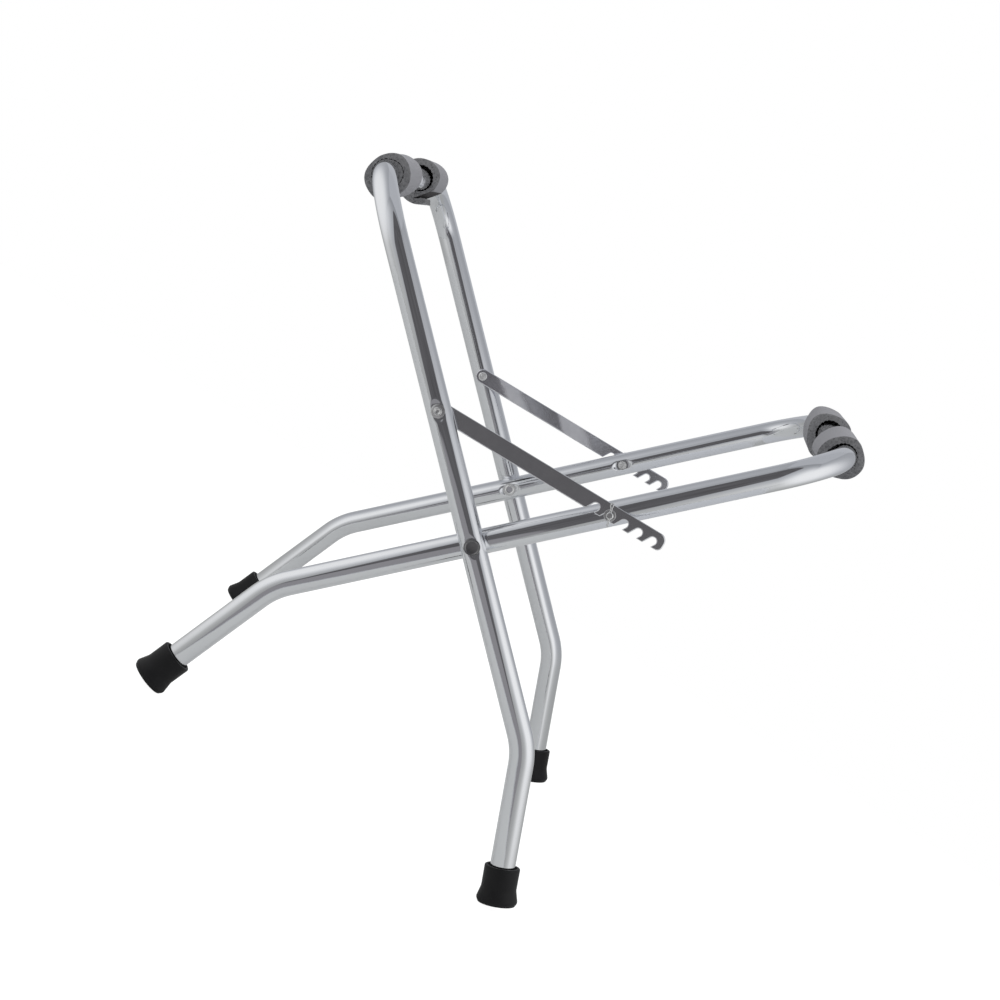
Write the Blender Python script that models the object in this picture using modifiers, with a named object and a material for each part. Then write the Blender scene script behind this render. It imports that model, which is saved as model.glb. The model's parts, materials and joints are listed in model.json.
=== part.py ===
"""Folding bass drum cradle.

Two U-shaped tube frames cross like scissors on a rivet at each side. A notched stay on each side,
riveted to the outer frame, hooks over a pin on the inner frame and holds the arms apart. A foam ring near
each corner carries the drum, and a rubber foot closes each leg.

Lengths are in metres and angles in degrees. X runs across the V of the arms, Y along the crossbars,
and Z is up. The origin is on the floor under the crossing.
"""

import math

import bmesh
import bpy
from mathutils import Matrix, Vector

# Frames
TUBE_OD = 0.0222
TUBE_WALL = 0.0012
OUTER_HALF_WIDTH = 0.293       # mid-plane to the axis of the outer frame's legs
ARM_REACH = 0.330              # cross pivot to the crossbar's axis
CORNER_RADIUS = 0.062          # centreline radius where arm meets crossbar
LEG_REACH = 0.182              # cross pivot to the corner of the leg's bend
LEG_BEND = 24.0
LEG_BEND_RADIUS = 0.070
FOOT_REACH = 0.138             # corner of the leg's bend to the sole of the foot
HOLE_REACH = 0.1205            # cross pivot to the stay's rivet, and to the hook pin

# Notched stays
STAY_WIDTH = 0.015
STAY_THICKNESS = 0.0025
STAY_FIRST_NOTCH = 0.1583      # rivet hole to the seat of the first notch, along the stay
STAY_NOTCH_PITCH = 0.0143
STAY_NOTCHES = 5
STAY_HOOKED_NOTCH = 2          # counted from the rivet, the notch that holds the pin
STAY_NOTCH_DEPTH = 0.0053      # lower edge to the centre of the notch's seat
STAY_NOTCH_LEAN = 30.0
STAY_TIP = 0.0103              # last seat to the free end
STAY_TIP_TOP_RADIUS = 0.0070
STAY_TIP_LOW_RADIUS = 0.0050

# Clearances
SEAT_GAP = 0.0003              # between pieces that touch on the real cradle
STAY_SIDE_PLAY = 0.0004        # stay to each frame's tube
NOTCH_PLAY = 0.00037           # pin to the notch's seat, all round

# Pressed flats that the fasteners' heads lie in
DIMPLE_DEPTH = 0.0012
DIMPLE_FLAT_RADIUS = 0.0072
DIMPLE_OUTER_RADIUS = 0.0130
PRESS_REACH = 1.2              # the press works on a skin within this share of the tube's radius

# Cross pivots: a tubular rivet, a spacer between the tubes and a washer under the rolled end
PIVOT_SHANK_D = 0.0080
PIVOT_HEAD_D = 0.0134
PIVOT_HEAD_HEIGHT = 0.0015
PIVOT_DISH = 0.0007
PIVOT_DISH_FLAT = 0.45         # shares of the head's radius, from its middle out
PIVOT_DISH_RIM = 0.82
PIVOT_HEAD_SHOULDER = 0.95
PIVOT_HEAD_UNDERSIDE = 0.93
PIVOT_ROLL_D = 0.0094
PIVOT_ROLL_HEIGHT = 0.0012
PIVOT_BORE_D = 0.0048
PIVOT_BORE_DEPTH = 0.0080
PIVOT_WASHER_D = 0.0132
PIVOT_WASHER_THICKNESS = 0.0009
SPACER_D = 0.0150

# Stay rivets: flat head on the stay, rolled end over a washer on the outer frame
STAY_RIVET_SHANK_D = 0.0060
STAY_RIVET_HEAD_D = 0.0092
STAY_RIVET_HEAD_HEIGHT = 0.0013
STAY_RIVET_HEAD_TOP = 0.85     # share of the head's radius that its flat top reaches
STAY_RIVET_ROLL_D = 0.0074
STAY_RIVET_ROLL_HEIGHT = 0.0012
STAY_RIVET_BORE_D = 0.0040
STAY_RIVET_BORE_DEPTH = 0.0060
STAY_RIVET_WASHER_D = 0.0124
STAY_RIVET_WASHER_THICKNESS = 0.0008

# Hook pins, each kept in its frame by a washer and a split pin outside the stay
HOOK_PIN_D = 0.00635
HOOK_PIN_HEAD_D = 0.0098
HOOK_PIN_HEAD_HEIGHT = 0.0016
HOOK_PIN_HEAD_TOP = 0.88       # share of the head's radius that its flat top reaches
HOOK_PIN_DIMPLE_FLOOR = 0.80   # share of the dimple's radius that its floor reaches
HOOK_PIN_DIMPLE_D = 0.0044
HOOK_PIN_DIMPLE_DEPTH = 0.0006
HOOK_PIN_TIP = 0.0016          # split pin to the rounded end
HOOK_PIN_TIP_CHAMFER = 0.0007
PIN_WASHER_D = 0.0105
PIN_WASHER_THICKNESS = 0.0009
SPLIT_WIRE_D = 0.0009
SPLIT_LEG_SPACING = 0.0012
SPLIT_LEG_LENGTH = 0.0104      # pin's axis to the end of the longer leg
SPLIT_SHORT_LEG = 0.93         # share of that length that the other leg has
SPLIT_EYE_REACH = 0.0090       # pin's axis to the middle of the eye
SPLIT_EYE_WIDTH = 0.0026
SPLIT_EYE_LENGTH = 0.0040
SPLIT_EYE_START = -60.0
SPLIT_EYE_TURN = 300.0
SPLIT_LEAN = 65.0              # from the inner frame's arm, towards the outer frame

# Rubber feet
FOOT_HEIGHT = 0.0335
FOOT_BODY_D = 0.0314
FOOT_FLARE_D = 0.0364
FOOT_SOLE_D = 0.0330
FOOT_FLOOR = 0.0080            # rubber under the end of the tube
FOOT_EDGE_HEIGHT = 0.0035      # widest ring above the sole
FOOT_FLARE_HEIGHT = 0.0105     # start of the flare above the sole
FOOT_FLARE_SAG = 0.35          # share of the flare's reach halfway down it
FOOT_EDGE_ROUND = 0.25         # share of the step from flare to sole at the edge's lower corner
FOOT_EDGE_DROP = 0.35          # that corner's share of the widest ring's height
FOOT_RIM_CHAMFER = 0.0012
FOOT_MOUTH_RELIEF = 0.0016     # the mouth stands off the tube by this much
FOOT_MOUTH_DEPTH = 0.0030

# Rolled and pressed edges of the fasteners, as shares of their height
ROLL_FOOT = 0.15
ROLL_SHOULDER = 0.85
ROLL_SHOULDER_IN = 0.40        # share of the way from the outside to the middle of the roll
ROLL_LIP = 0.60
HEAD_EDGE = 0.50
HEAD_SHOULDER = 0.85
DISH_FLAT_DEPTH = 0.80
PIN_HEAD_EDGE = 0.60

# Foam near the ends of the crossbars, each ring over a thin sleeve
SLEEVE_WALL = 0.0018
SLEEVE_RECESS = 0.030          # the sleeve stops this far inside the ring's inner end
RING_WALL = 0.0070
RING_LENGTH = 0.118
RING_INSET = 0.003             # end of the crossbar's straight run to the ring
SLEEVE_CHAMFER = 0.0005
RING_CHAMFER = 0.0012

# Facets
TUBE_BEVEL_RESOLUTION = 8      # 20 sides
BORE_BEVEL_RESOLUTION = 4      # 12 sides
WIRE_BEVEL_RESOLUTION = 2      # 8 sides
CORNER_STEPS = 10
LEG_BEND_STEPS = 4
TURNED_STEPS = 24
FASTENER_STEPS = 16
ARC_STEPS = 8
CUTTER_SIDES = 16
CUT_OVERRUN = 0.002            # a cutter reaches this far past what it cuts
MERGE = 0.00001

NEAR, FAR = -1, 1              # sides of the cradle along Y

# Sizes worked out from the ones above
TUBE_R = TUBE_OD / 2
BORE_R = TUBE_R - TUBE_WALL
FRAME_GAP = STAY_THICKNESS + 2 * STAY_SIDE_PLAY
INNER_HALF_WIDTH = OUTER_HALF_WIDTH - TUBE_OD - FRAME_GAP
NOTCH_RADIUS = HOOK_PIN_D / 2 + NOTCH_PLAY
SEAT_DROP = STAY_WIDTH / 2 - STAY_NOTCH_DEPTH
HOOKED_SEAT = STAY_FIRST_NOTCH + (STAY_HOOKED_NOTCH - 1) * STAY_NOTCH_PITCH
RIVET_TO_PIN = math.hypot(HOOKED_SEAT, SEAT_DROP)
STAY_TILT = math.atan2(SEAT_DROP, HOOKED_SEAT)
ARM_ANGLE = math.asin(RIVET_TO_PIN / (2 * HOLE_REACH))
FOOT_ANGLE = ARM_ANGLE - math.radians(LEG_BEND)
PIVOT_HEIGHT = (
    LEG_REACH * math.cos(ARM_ANGLE) + FOOT_REACH * math.cos(FOOT_ANGLE) + FOOT_SOLE_D / 2 * math.sin(FOOT_ANGLE)
)
SLEEVE_BORE_R = TUBE_R + SEAT_GAP
SLEEVE_R = SLEEVE_BORE_R + SLEEVE_WALL
RING_BORE_R = SLEEVE_R + SEAT_GAP
RING_R = RING_BORE_R + RING_WALL
DIMPLE_SEAT = TUBE_R - DIMPLE_DEPTH
DIMPLE_MID_RADIUS = (DIMPLE_FLAT_RADIUS + DIMPLE_OUTER_RADIUS) / 2

CHROME = ((0.80, 0.81, 0.83), 1.0, 0.10)
ZINC = ((0.62, 0.62, 0.60), 1.0, 0.28)
STAY_STEEL = ((0.30, 0.30, 0.32), 1.0, 0.30)
RUBBER = ((0.022, 0.022, 0.024), 0.0, 0.55)
FOAM = ((0.27, 0.27, 0.29), 0.0, 0.95)


def clear_scene():
    """Empties the open file without closing it."""
    for item in list(bpy.data.objects):
        bpy.data.objects.remove(item, do_unlink=True)


def new_collection(name):
    """A collection in the scene, made anew."""
    old = bpy.data.collections.get(name)
    if old:
        bpy.data.collections.remove(old)
    made = bpy.data.collections.new(name)
    bpy.context.scene.collection.children.link(made)
    return made


def finish(item, look):
    """Gives the object its own plain material."""
    colour, metallic, roughness = look
    material = bpy.data.materials.new(item.name + "_finish")
    material.use_nodes = True
    shader = material.node_tree.nodes["Principled BSDF"]
    shader.inputs["Base Color"].default_value = (*colour, 1.0)
    shader.inputs["Metallic"].default_value = metallic
    shader.inputs["Roughness"].default_value = roughness
    item.data.materials.clear()
    item.data.materials.append(material)


def smooth(item, sharp_angle=35.0):
    """Round stretches shade smooth, edges past the angle stay sharp."""
    item.data.shade_smooth()
    item.data.set_sharp_from_angle(angle=math.radians(sharp_angle))


def add_empty(name, location, rotation=(0.0, 0.0, 0.0)):
    """A joint's axis, as an empty that its moving pieces are parented to."""
    empty = bpy.data.objects.new(name, None)
    empty.empty_display_size = 0.03
    empty.location = location
    empty.rotation_euler = rotation
    PARTS.objects.link(empty)
    return empty


def circumscribed(radius, sides):
    """Radius of a polygon's corners whose flats touch a circle of the given radius."""
    return radius / math.cos(math.pi / sides)


def meshed(curve_object):
    """Replaces a curve object by its mesh, with the caps joined to the walls."""
    evaluated = curve_object.evaluated_get(bpy.context.evaluated_depsgraph_get())
    mesh = bpy.data.meshes.new_from_object(evaluated)
    name, parent, matrix = curve_object.name, curve_object.parent, curve_object.matrix_basis.copy()
    bpy.data.objects.remove(curve_object, do_unlink=True)
    shape = bmesh.new()
    shape.from_mesh(mesh)
    bmesh.ops.remove_doubles(shape, verts=shape.verts, dist=MERGE)
    bmesh.ops.recalc_face_normals(shape, faces=shape.faces)
    shape.to_mesh(mesh)
    shape.free()
    made = bpy.data.objects.new(name, mesh)
    made.parent = parent
    made.matrix_basis = matrix
    PARTS.objects.link(made)
    return made


def swept(name, points, radius, resolution, parent=None):
    """A round bar along a run of points."""
    curve = bpy.data.curves.new(name, "CURVE")
    curve.dimensions = "3D"
    curve.bevel_depth = radius
    curve.bevel_resolution = resolution
    curve.use_fill_caps = True
    spline = curve.splines.new("POLY")
    spline.points.add(len(points) - 1)
    for target, point in zip(spline.points, points):
        target.co = (*point, 1.0)
    item = bpy.data.objects.new(name, curve)
    item.parent = parent
    PARTS.objects.link(item)
    return meshed(item)


def turned(name, profile, parent, steps=FASTENER_STEPS, closed=False):
    """A profile of (radius, height) points turned round local Z.

    An open profile starts and ends on the axis. Both kinds run down the outer side.
    """
    mesh = bpy.data.meshes.new(name)
    shape = bmesh.new()
    corners = [shape.verts.new((radius, 0.0, height)) for radius, height in profile]
    for first, second in zip(corners, corners[1:]):
        shape.edges.new((first, second))
    if closed:
        shape.edges.new((corners[-1], corners[0]))
    shape.to_mesh(mesh)
    shape.free()
    item = bpy.data.objects.new(name, mesh)
    item.parent = parent
    PARTS.objects.link(item)
    screw = item.modifiers.new("Turn", "SCREW")
    screw.steps = steps
    screw.render_steps = steps
    screw.use_merge_vertices = True
    screw.merge_threshold = MERGE
    screw.use_smooth_shade = True
    return item


def washer(name, inner_radius, outer_radius, thickness, parent, steps=FASTENER_STEPS, chamfer=0.0):
    """A flat ring round local Z, from height 0 to its thickness."""
    bore = circumscribed(inner_radius, steps)
    edge = min(chamfer, thickness / 3, (outer_radius - bore) / 3)
    profile = [(bore, thickness), (outer_radius - edge, thickness)]
    if edge:
        profile += [(outer_radius, thickness - edge), (outer_radius, edge)]
    profile += [(outer_radius - edge, 0.0), (bore, 0.0)]
    return turned(name, profile, parent, steps, closed=True)


def cutter_bar(name, radius, length, parent, matrix):
    """A round cutter along local Z, centred on its matrix."""
    mesh = bpy.data.meshes.new(name)
    shape = bmesh.new()
    corner_radius = circumscribed(radius, CUTTER_SIDES)
    bmesh.ops.create_cone(
        shape, cap_ends=True, segments=CUTTER_SIDES, radius1=corner_radius, radius2=corner_radius, depth=length
    )
    shape.to_mesh(mesh)
    shape.free()
    item = bpy.data.objects.new(name, mesh)
    item.parent = parent
    item.matrix_basis = matrix
    hide_cutter(item)
    return item


def hide_cutter(item):
    """Moves an object to the cutters, which are drawn as wires and left out of the part."""
    for holder in list(item.users_collection):
        holder.objects.unlink(item)
    CUTTERS.objects.link(item)
    item.hide_render = True
    item.display_type = "WIRE"


def cut(item, tool):
    """Takes the tool's volume away from the object."""
    boolean = item.modifiers.new("Cut_" + tool.name, "BOOLEAN")
    boolean.operation = "DIFFERENCE"
    boolean.solver = "EXACT"
    boolean.object = tool


def fillet(start, corner, end, radius, steps):
    """Points of the arc that rounds the corner between two straight runs."""
    towards_start = (start - corner).normalized()
    towards_end = (end - corner).normalized()
    opening = towards_start.angle(towards_end)
    turn = math.pi - opening
    tangent = radius / math.tan(opening / 2)
    centre = corner + (towards_start + towards_end).normalized() * (radius / math.sin(opening / 2))
    first = corner + towards_start * tangent - centre
    across = (-towards_start - first * (-towards_start).dot(first) / first.length_squared).normalized() * radius
    return [centre + first * math.cos(turn * i / steps) + across * math.sin(turn * i / steps) for i in range(steps + 1)]


def outward(side):
    """Turns local Z to point away from the mid-plane on the given side."""
    return Matrix.Rotation(math.radians(-90.0 * side), 4, "X")


class Frame:
    """One U-shaped frame, built with its arm along local Z and the cross pivot at its origin."""

    def __init__(self, name, half_width, lean, dimple_side):
        self.name = name
        self.half_width = half_width
        self.lean = lean                    # -1 leans towards -X, 1 towards +X
        self.dimple_side = dimple_side      # 1 presses the legs' outer faces, -1 the inner ones
        self.axis = add_empty(name + "_axis", (0.0, 0.0, PIVOT_HEIGHT), (0.0, lean * ARM_ANGLE, 0.0))
        bend = math.radians(LEG_BEND)
        self.foot_direction = Vector((lean * math.sin(bend), 0.0, -math.cos(bend)))

    def leg_axis(self, side, height=0.0):
        """A point on a leg's straight run."""
        return Vector((0.0, side * self.half_width, height))

    def sole_centre(self, side):
        """Middle of a foot's sole."""
        return self.leg_axis(side, -LEG_REACH) + self.foot_direction * FOOT_REACH

    def half_path(self, end_distance):
        """Centreline of the near half, from the foot to where the crossbar's straight run starts."""
        bend_corner = self.leg_axis(NEAR, -LEG_REACH)
        top_corner = self.leg_axis(NEAR, ARM_REACH)
        foot_end = bend_corner + self.foot_direction * end_distance
        points = [foot_end]
        points += fillet(foot_end, bend_corner, top_corner, LEG_BEND_RADIUS, LEG_BEND_STEPS)
        for hole in (0.0, HOLE_REACH):
            for offset in (-DIMPLE_OUTER_RADIUS, -DIMPLE_MID_RADIUS, -DIMPLE_FLAT_RADIUS):
                points.append(self.leg_axis(NEAR, hole + offset))
            for offset in (DIMPLE_FLAT_RADIUS, DIMPLE_MID_RADIUS, DIMPLE_OUTER_RADIUS):
                points.append(self.leg_axis(NEAR, hole + offset))
        points += fillet(self.leg_axis(NEAR), top_corner, self.leg_axis(FAR, ARM_REACH), CORNER_RADIUS, CORNER_STEPS)
        return points

    def path(self, end_distance):
        """Centreline of the whole frame, from the near foot over the crossbar to the far foot."""
        near = self.half_path(end_distance)
        far = [Vector((point.x, -point.y, point.z)) for point in reversed(near)]
        return near + far

    def press(self, mesh, radius):
        """Presses the shallow flats round the holes into a tube's surface of the given radius."""
        for vertex in mesh.vertices:
            side = NEAR if vertex.co.y < 0 else FAR
            face = side * self.dimple_side
            reach = (vertex.co.y - side * self.half_width) * face
            nearest = min(math.hypot(vertex.co.x, vertex.co.z - hole) for hole in (0.0, HOLE_REACH))
            fade = (DIMPLE_OUTER_RADIUS - nearest) / (DIMPLE_OUTER_RADIUS - DIMPLE_FLAT_RADIUS)
            fade = min(1.0, max(0.0, fade))
            limit = radius - DIMPLE_DEPTH * fade * fade * (3 - 2 * fade)
            if 0.0 < fade and limit < reach < radius * PRESS_REACH:
                vertex.co.y = side * self.half_width + face * limit

    def build_tube(self, hole_radii):
        """The bent tube, bored through and drilled at the cross pivot and at the stay's hole."""
        tube_end = FOOT_REACH - FOOT_FLOOR - SEAT_GAP
        tube = swept(self.name + "_tube", self.path(tube_end), TUBE_R, TUBE_BEVEL_RESOLUTION, self.axis)
        self.press(tube.data, TUBE_R)
        bore = swept(self.name + "_bore", self.path(tube_end + CUT_OVERRUN), BORE_R, BORE_BEVEL_RESOLUTION, self.axis)
        self.press(bore.data, BORE_R)
        hide_cutter(bore)
        cut(tube, bore)
        across = 2 * (self.half_width + TUBE_OD)
        for label, height, radius in (("pivot", 0.0, hole_radii[0]), ("stay", HOLE_REACH, hole_radii[1])):
            place = Matrix.Translation((0.0, 0.0, height)) @ outward(FAR)
            cut(tube, cutter_bar(f"{self.name}_{label}_drill", radius, across, self.axis, place))
        smooth(tube)
        finish(tube, CHROME)

    def build_foot(self, side_name, side):
        """A rubber foot over the end of one leg, turned from the sole up."""
        bore = circumscribed(TUBE_R + SEAT_GAP, TURNED_STEPS)
        mouth = bore + FOOT_MOUTH_RELIEF
        body, flare, sole = FOOT_BODY_D / 2, FOOT_FLARE_D / 2, FOOT_SOLE_D / 2
        profile = [
            (0.0, FOOT_FLOOR),
            (bore, FOOT_FLOOR),
            (bore, FOOT_HEIGHT - FOOT_MOUTH_DEPTH),
            (mouth, FOOT_HEIGHT - FOOT_MOUTH_DEPTH / 3),
            (mouth, FOOT_HEIGHT),
            (body - FOOT_RIM_CHAMFER, FOOT_HEIGHT),
            (body, FOOT_HEIGHT - FOOT_RIM_CHAMFER),
            (body, FOOT_FLARE_HEIGHT),
            (body + (flare - body) * FOOT_FLARE_SAG, (FOOT_FLARE_HEIGHT + FOOT_EDGE_HEIGHT) / 2),
            (flare, FOOT_EDGE_HEIGHT),
            (flare - (flare - sole) * FOOT_EDGE_ROUND, FOOT_EDGE_HEIGHT * FOOT_EDGE_DROP),
            (sole, 0.0),
            (0.0, 0.0),
        ]
        foot = turned(f"{side_name}_{self.name}_foot", profile, self.axis, TURNED_STEPS)
        up = -self.foot_direction
        spin = Vector((0.0, 1.0, 0.0)).cross(up)
        turn = Matrix((spin, Vector((0.0, 1.0, 0.0)), up)).transposed().to_4x4()
        foot.matrix_basis = Matrix.Translation(self.sole_centre(side)) @ turn
        finish(foot, RUBBER)

    def build_foam(self):
        """A thin sleeve near each end of the crossbar, and the thick ring over it."""
        start = self.half_width - CORNER_RADIUS - RING_INSET - RING_LENGTH
        sleeve_start, sleeve_length = start + SLEEVE_RECESS, RING_LENGTH - SLEEVE_RECESS
        for side_name, side in (("near", NEAR), ("far", FAR)):
            name = f"{side_name}_{self.name}"
            sleeve = washer(
                f"{name}_sleeve", SLEEVE_BORE_R, SLEEVE_R, sleeve_length, self.axis, TURNED_STEPS, SLEEVE_CHAMFER
            )
            sleeve.matrix_basis = Matrix.Translation((0.0, side * sleeve_start, ARM_REACH)) @ outward(side)
            ring = washer(f"{name}_ring", RING_BORE_R, RING_R, RING_LENGTH, self.axis, TURNED_STEPS, RING_CHAMFER)
            ring.matrix_basis = Matrix.Translation((0.0, side * start, ARM_REACH)) @ outward(side)
            finish(sleeve, FOAM)
            finish(ring, FOAM)


def rolled_end(radius, bore, height, inner):
    """Profile of a rolled tubular end, from its outside edge in to the bottom of its bore."""
    middle = (radius + bore) / 2
    return [
        (radius, height * ROLL_FOOT),
        (radius - (radius - middle) * ROLL_SHOULDER_IN, height * ROLL_SHOULDER),
        (middle, height),
        (bore, height * ROLL_LIP),
        (bore, inner),
        (0.0, inner),
    ]


def build_cross_pivot(side_name, side, outer, inner):
    """Rivet through both tubes, the spacer between them and the washer under the rolled end."""
    shank, head = PIVOT_SHANK_D / 2, PIVOT_HEAD_D / 2
    head_seat = DIMPLE_SEAT + SEAT_GAP
    inner_axis = -(TUBE_OD + FRAME_GAP)
    washer_seat = inner_axis - DIMPLE_SEAT - SEAT_GAP
    roll_seat = washer_seat - PIVOT_WASHER_THICKNESS - SEAT_GAP
    head_top = head_seat + PIVOT_HEAD_HEIGHT
    profile = [
        (0.0, head_top - PIVOT_DISH),
        (head * PIVOT_DISH_FLAT, head_top - PIVOT_DISH * DISH_FLAT_DEPTH),
        (head * PIVOT_DISH_RIM, head_top),
        (head * PIVOT_HEAD_SHOULDER, head_seat + PIVOT_HEAD_HEIGHT * HEAD_SHOULDER),
        (head, head_seat + PIVOT_HEAD_HEIGHT * HEAD_EDGE),
        (head * PIVOT_HEAD_UNDERSIDE, head_seat),
        (shank, head_seat),
        (shank, roll_seat),
    ]
    rolled = rolled_end(PIVOT_ROLL_D / 2, PIVOT_BORE_D / 2, PIVOT_ROLL_HEIGHT, -PIVOT_BORE_DEPTH)
    profile += [(radius, roll_seat - height) for radius, height in rolled]
    rivet = turned(f"{side_name}_pivot_rivet", profile, outer.axis)
    rivet.matrix_basis = Matrix.Translation(outer.leg_axis(side)) @ outward(side)
    finish(rivet, ZINC)

    spacer = washer(
        f"{side_name}_pivot_spacer", shank + SEAT_GAP, SPACER_D / 2, FRAME_GAP - 2 * SEAT_GAP, outer.axis
    )
    spacer_start = outer.leg_axis(side) - Vector((0.0, side * (TUBE_R + FRAME_GAP - SEAT_GAP), 0.0))
    spacer.matrix_basis = Matrix.Translation(spacer_start) @ outward(side)
    finish(spacer, ZINC)

    ring = washer(
        f"{side_name}_pivot_washer", shank + SEAT_GAP, PIVOT_WASHER_D / 2, PIVOT_WASHER_THICKNESS, outer.axis
    )
    ring_start = outer.leg_axis(side) + Vector((0.0, side * (washer_seat - PIVOT_WASHER_THICKNESS), 0.0))
    ring.matrix_basis = Matrix.Translation(ring_start) @ outward(side)
    finish(ring, ZINC)


def build_stay_rivet(side_name, side, outer):
    """Rivet that a stay swings on, with the washer under its rolled end on the outer frame."""
    shank, head = STAY_RIVET_SHANK_D / 2, STAY_RIVET_HEAD_D / 2
    washer_seat = DIMPLE_SEAT + SEAT_GAP
    roll_seat = washer_seat + STAY_RIVET_WASHER_THICKNESS + SEAT_GAP
    head_seat = -(TUBE_R + STAY_SIDE_PLAY + STAY_THICKNESS + SEAT_GAP)
    rolled = rolled_end(
        STAY_RIVET_ROLL_D / 2, STAY_RIVET_BORE_D / 2, STAY_RIVET_ROLL_HEIGHT, -STAY_RIVET_BORE_DEPTH
    )
    profile = [(radius, roll_seat + height) for radius, height in reversed(rolled)]
    profile += [
        (shank, roll_seat),
        (shank, head_seat),
        (head, head_seat),
        (head, head_seat - STAY_RIVET_HEAD_HEIGHT * HEAD_EDGE),
        (head * STAY_RIVET_HEAD_TOP, head_seat - STAY_RIVET_HEAD_HEIGHT),
        (0.0, head_seat - STAY_RIVET_HEAD_HEIGHT),
    ]
    rivet = turned(f"{side_name}_stay_rivet", profile, outer.axis)
    hole = outer.leg_axis(side, HOLE_REACH)
    rivet.matrix_basis = Matrix.Translation(hole) @ outward(side)
    finish(rivet, ZINC)

    ring = washer(
        f"{side_name}_stay_rivet_washer",
        shank + SEAT_GAP,
        STAY_RIVET_WASHER_D / 2,
        STAY_RIVET_WASHER_THICKNESS,
        outer.axis,
    )
    ring.matrix_basis = Matrix.Translation(hole + Vector((0.0, side * washer_seat, 0.0))) @ outward(side)
    finish(ring, ZINC)


def arc_2d(centre, radius, first, last, steps=ARC_STEPS):
    """Points of a flat arc, from the first angle to the last."""
    angles = (math.radians(first + (last - first) * i / steps) for i in range(steps + 1))
    return [(centre[0] + radius * math.cos(a), centre[1] + radius * math.sin(a)) for a in angles]


def notch_outline(seat_x):
    """One slanted notch, from its tip-side corner on the lower edge round its seat to the other corner."""
    low_edge = -STAY_WIDTH / 2
    seat = Vector((seat_x, low_edge + STAY_NOTCH_DEPTH))
    lean = math.radians(STAY_NOTCH_LEAN)
    towards_mouth = Vector((-math.sin(lean), -math.cos(lean)))
    tip_side = Vector((math.cos(lean), -math.sin(lean))) * NOTCH_RADIUS
    points = []
    for wall in (seat + tip_side, seat - tip_side):
        reach = (low_edge - wall.y) / towards_mouth.y
        points.append(tuple(wall + towards_mouth * reach))
    round_seat = arc_2d(seat, NOTCH_RADIUS, -STAY_NOTCH_LEAN, 180.0 - STAY_NOTCH_LEAN)
    return [points[0]] + round_seat + [points[1]]


def stay_outline():
    """The stay's outline round its rivet hole at the origin, with the notches in the lower edge."""
    half = STAY_WIDTH / 2
    last_seat = STAY_FIRST_NOTCH + (STAY_NOTCHES - 1) * STAY_NOTCH_PITCH
    tip = last_seat + STAY_TIP
    points = arc_2d((0.0, 0.0), half, 270.0, 90.0, 2 * ARC_STEPS)
    points += arc_2d((tip - STAY_TIP_TOP_RADIUS, half - STAY_TIP_TOP_RADIUS), STAY_TIP_TOP_RADIUS, 90.0, 0.0)
    points += arc_2d((tip - STAY_TIP_LOW_RADIUS, -half + STAY_TIP_LOW_RADIUS), STAY_TIP_LOW_RADIUS, 0.0, -90.0)
    for index in reversed(range(STAY_NOTCHES)):
        points += notch_outline(STAY_FIRST_NOTCH + index * STAY_NOTCH_PITCH)
    return points


def build_stay(side_name, side):
    """A flat notched stay, with its origin on its rivet."""
    rivet = Vector((-HOLE_REACH * math.sin(ARM_ANGLE), 0.0, PIVOT_HEIGHT + HOLE_REACH * math.cos(ARM_ANGLE)))
    rivet.y = side * (OUTER_HALF_WIDTH - TUBE_R - STAY_SIDE_PLAY - STAY_THICKNESS / 2)
    axis = add_empty(f"{side_name}_stay_axis", rivet, (0.0, -STAY_TILT, 0.0))
    curve = bpy.data.curves.new(f"{side_name}_stay", "CURVE")
    curve.dimensions = "2D"
    curve.fill_mode = "BOTH"
    curve.extrude = STAY_THICKNESS / 2
    hole_radius = circumscribed(STAY_RIVET_SHANK_D / 2 + SEAT_GAP, CUTTER_SIDES)
    hole = arc_2d((0.0, 0.0), hole_radius, 0.0, 360.0, CUTTER_SIDES)[:-1]
    for outline in (stay_outline(), hole):
        spline = curve.splines.new("POLY")
        spline.points.add(len(outline) - 1)
        for target, point in zip(spline.points, outline):
            target.co = (*point, 0.0, 1.0)
        spline.use_cyclic_u = True
    stay = bpy.data.objects.new(curve.name, curve)
    stay.parent = axis
    stay.matrix_basis = Matrix.Rotation(math.radians(90.0), 4, "X")
    PARTS.objects.link(stay)
    stay = meshed(stay)
    smooth(stay)
    finish(stay, STAY_STEEL)


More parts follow.
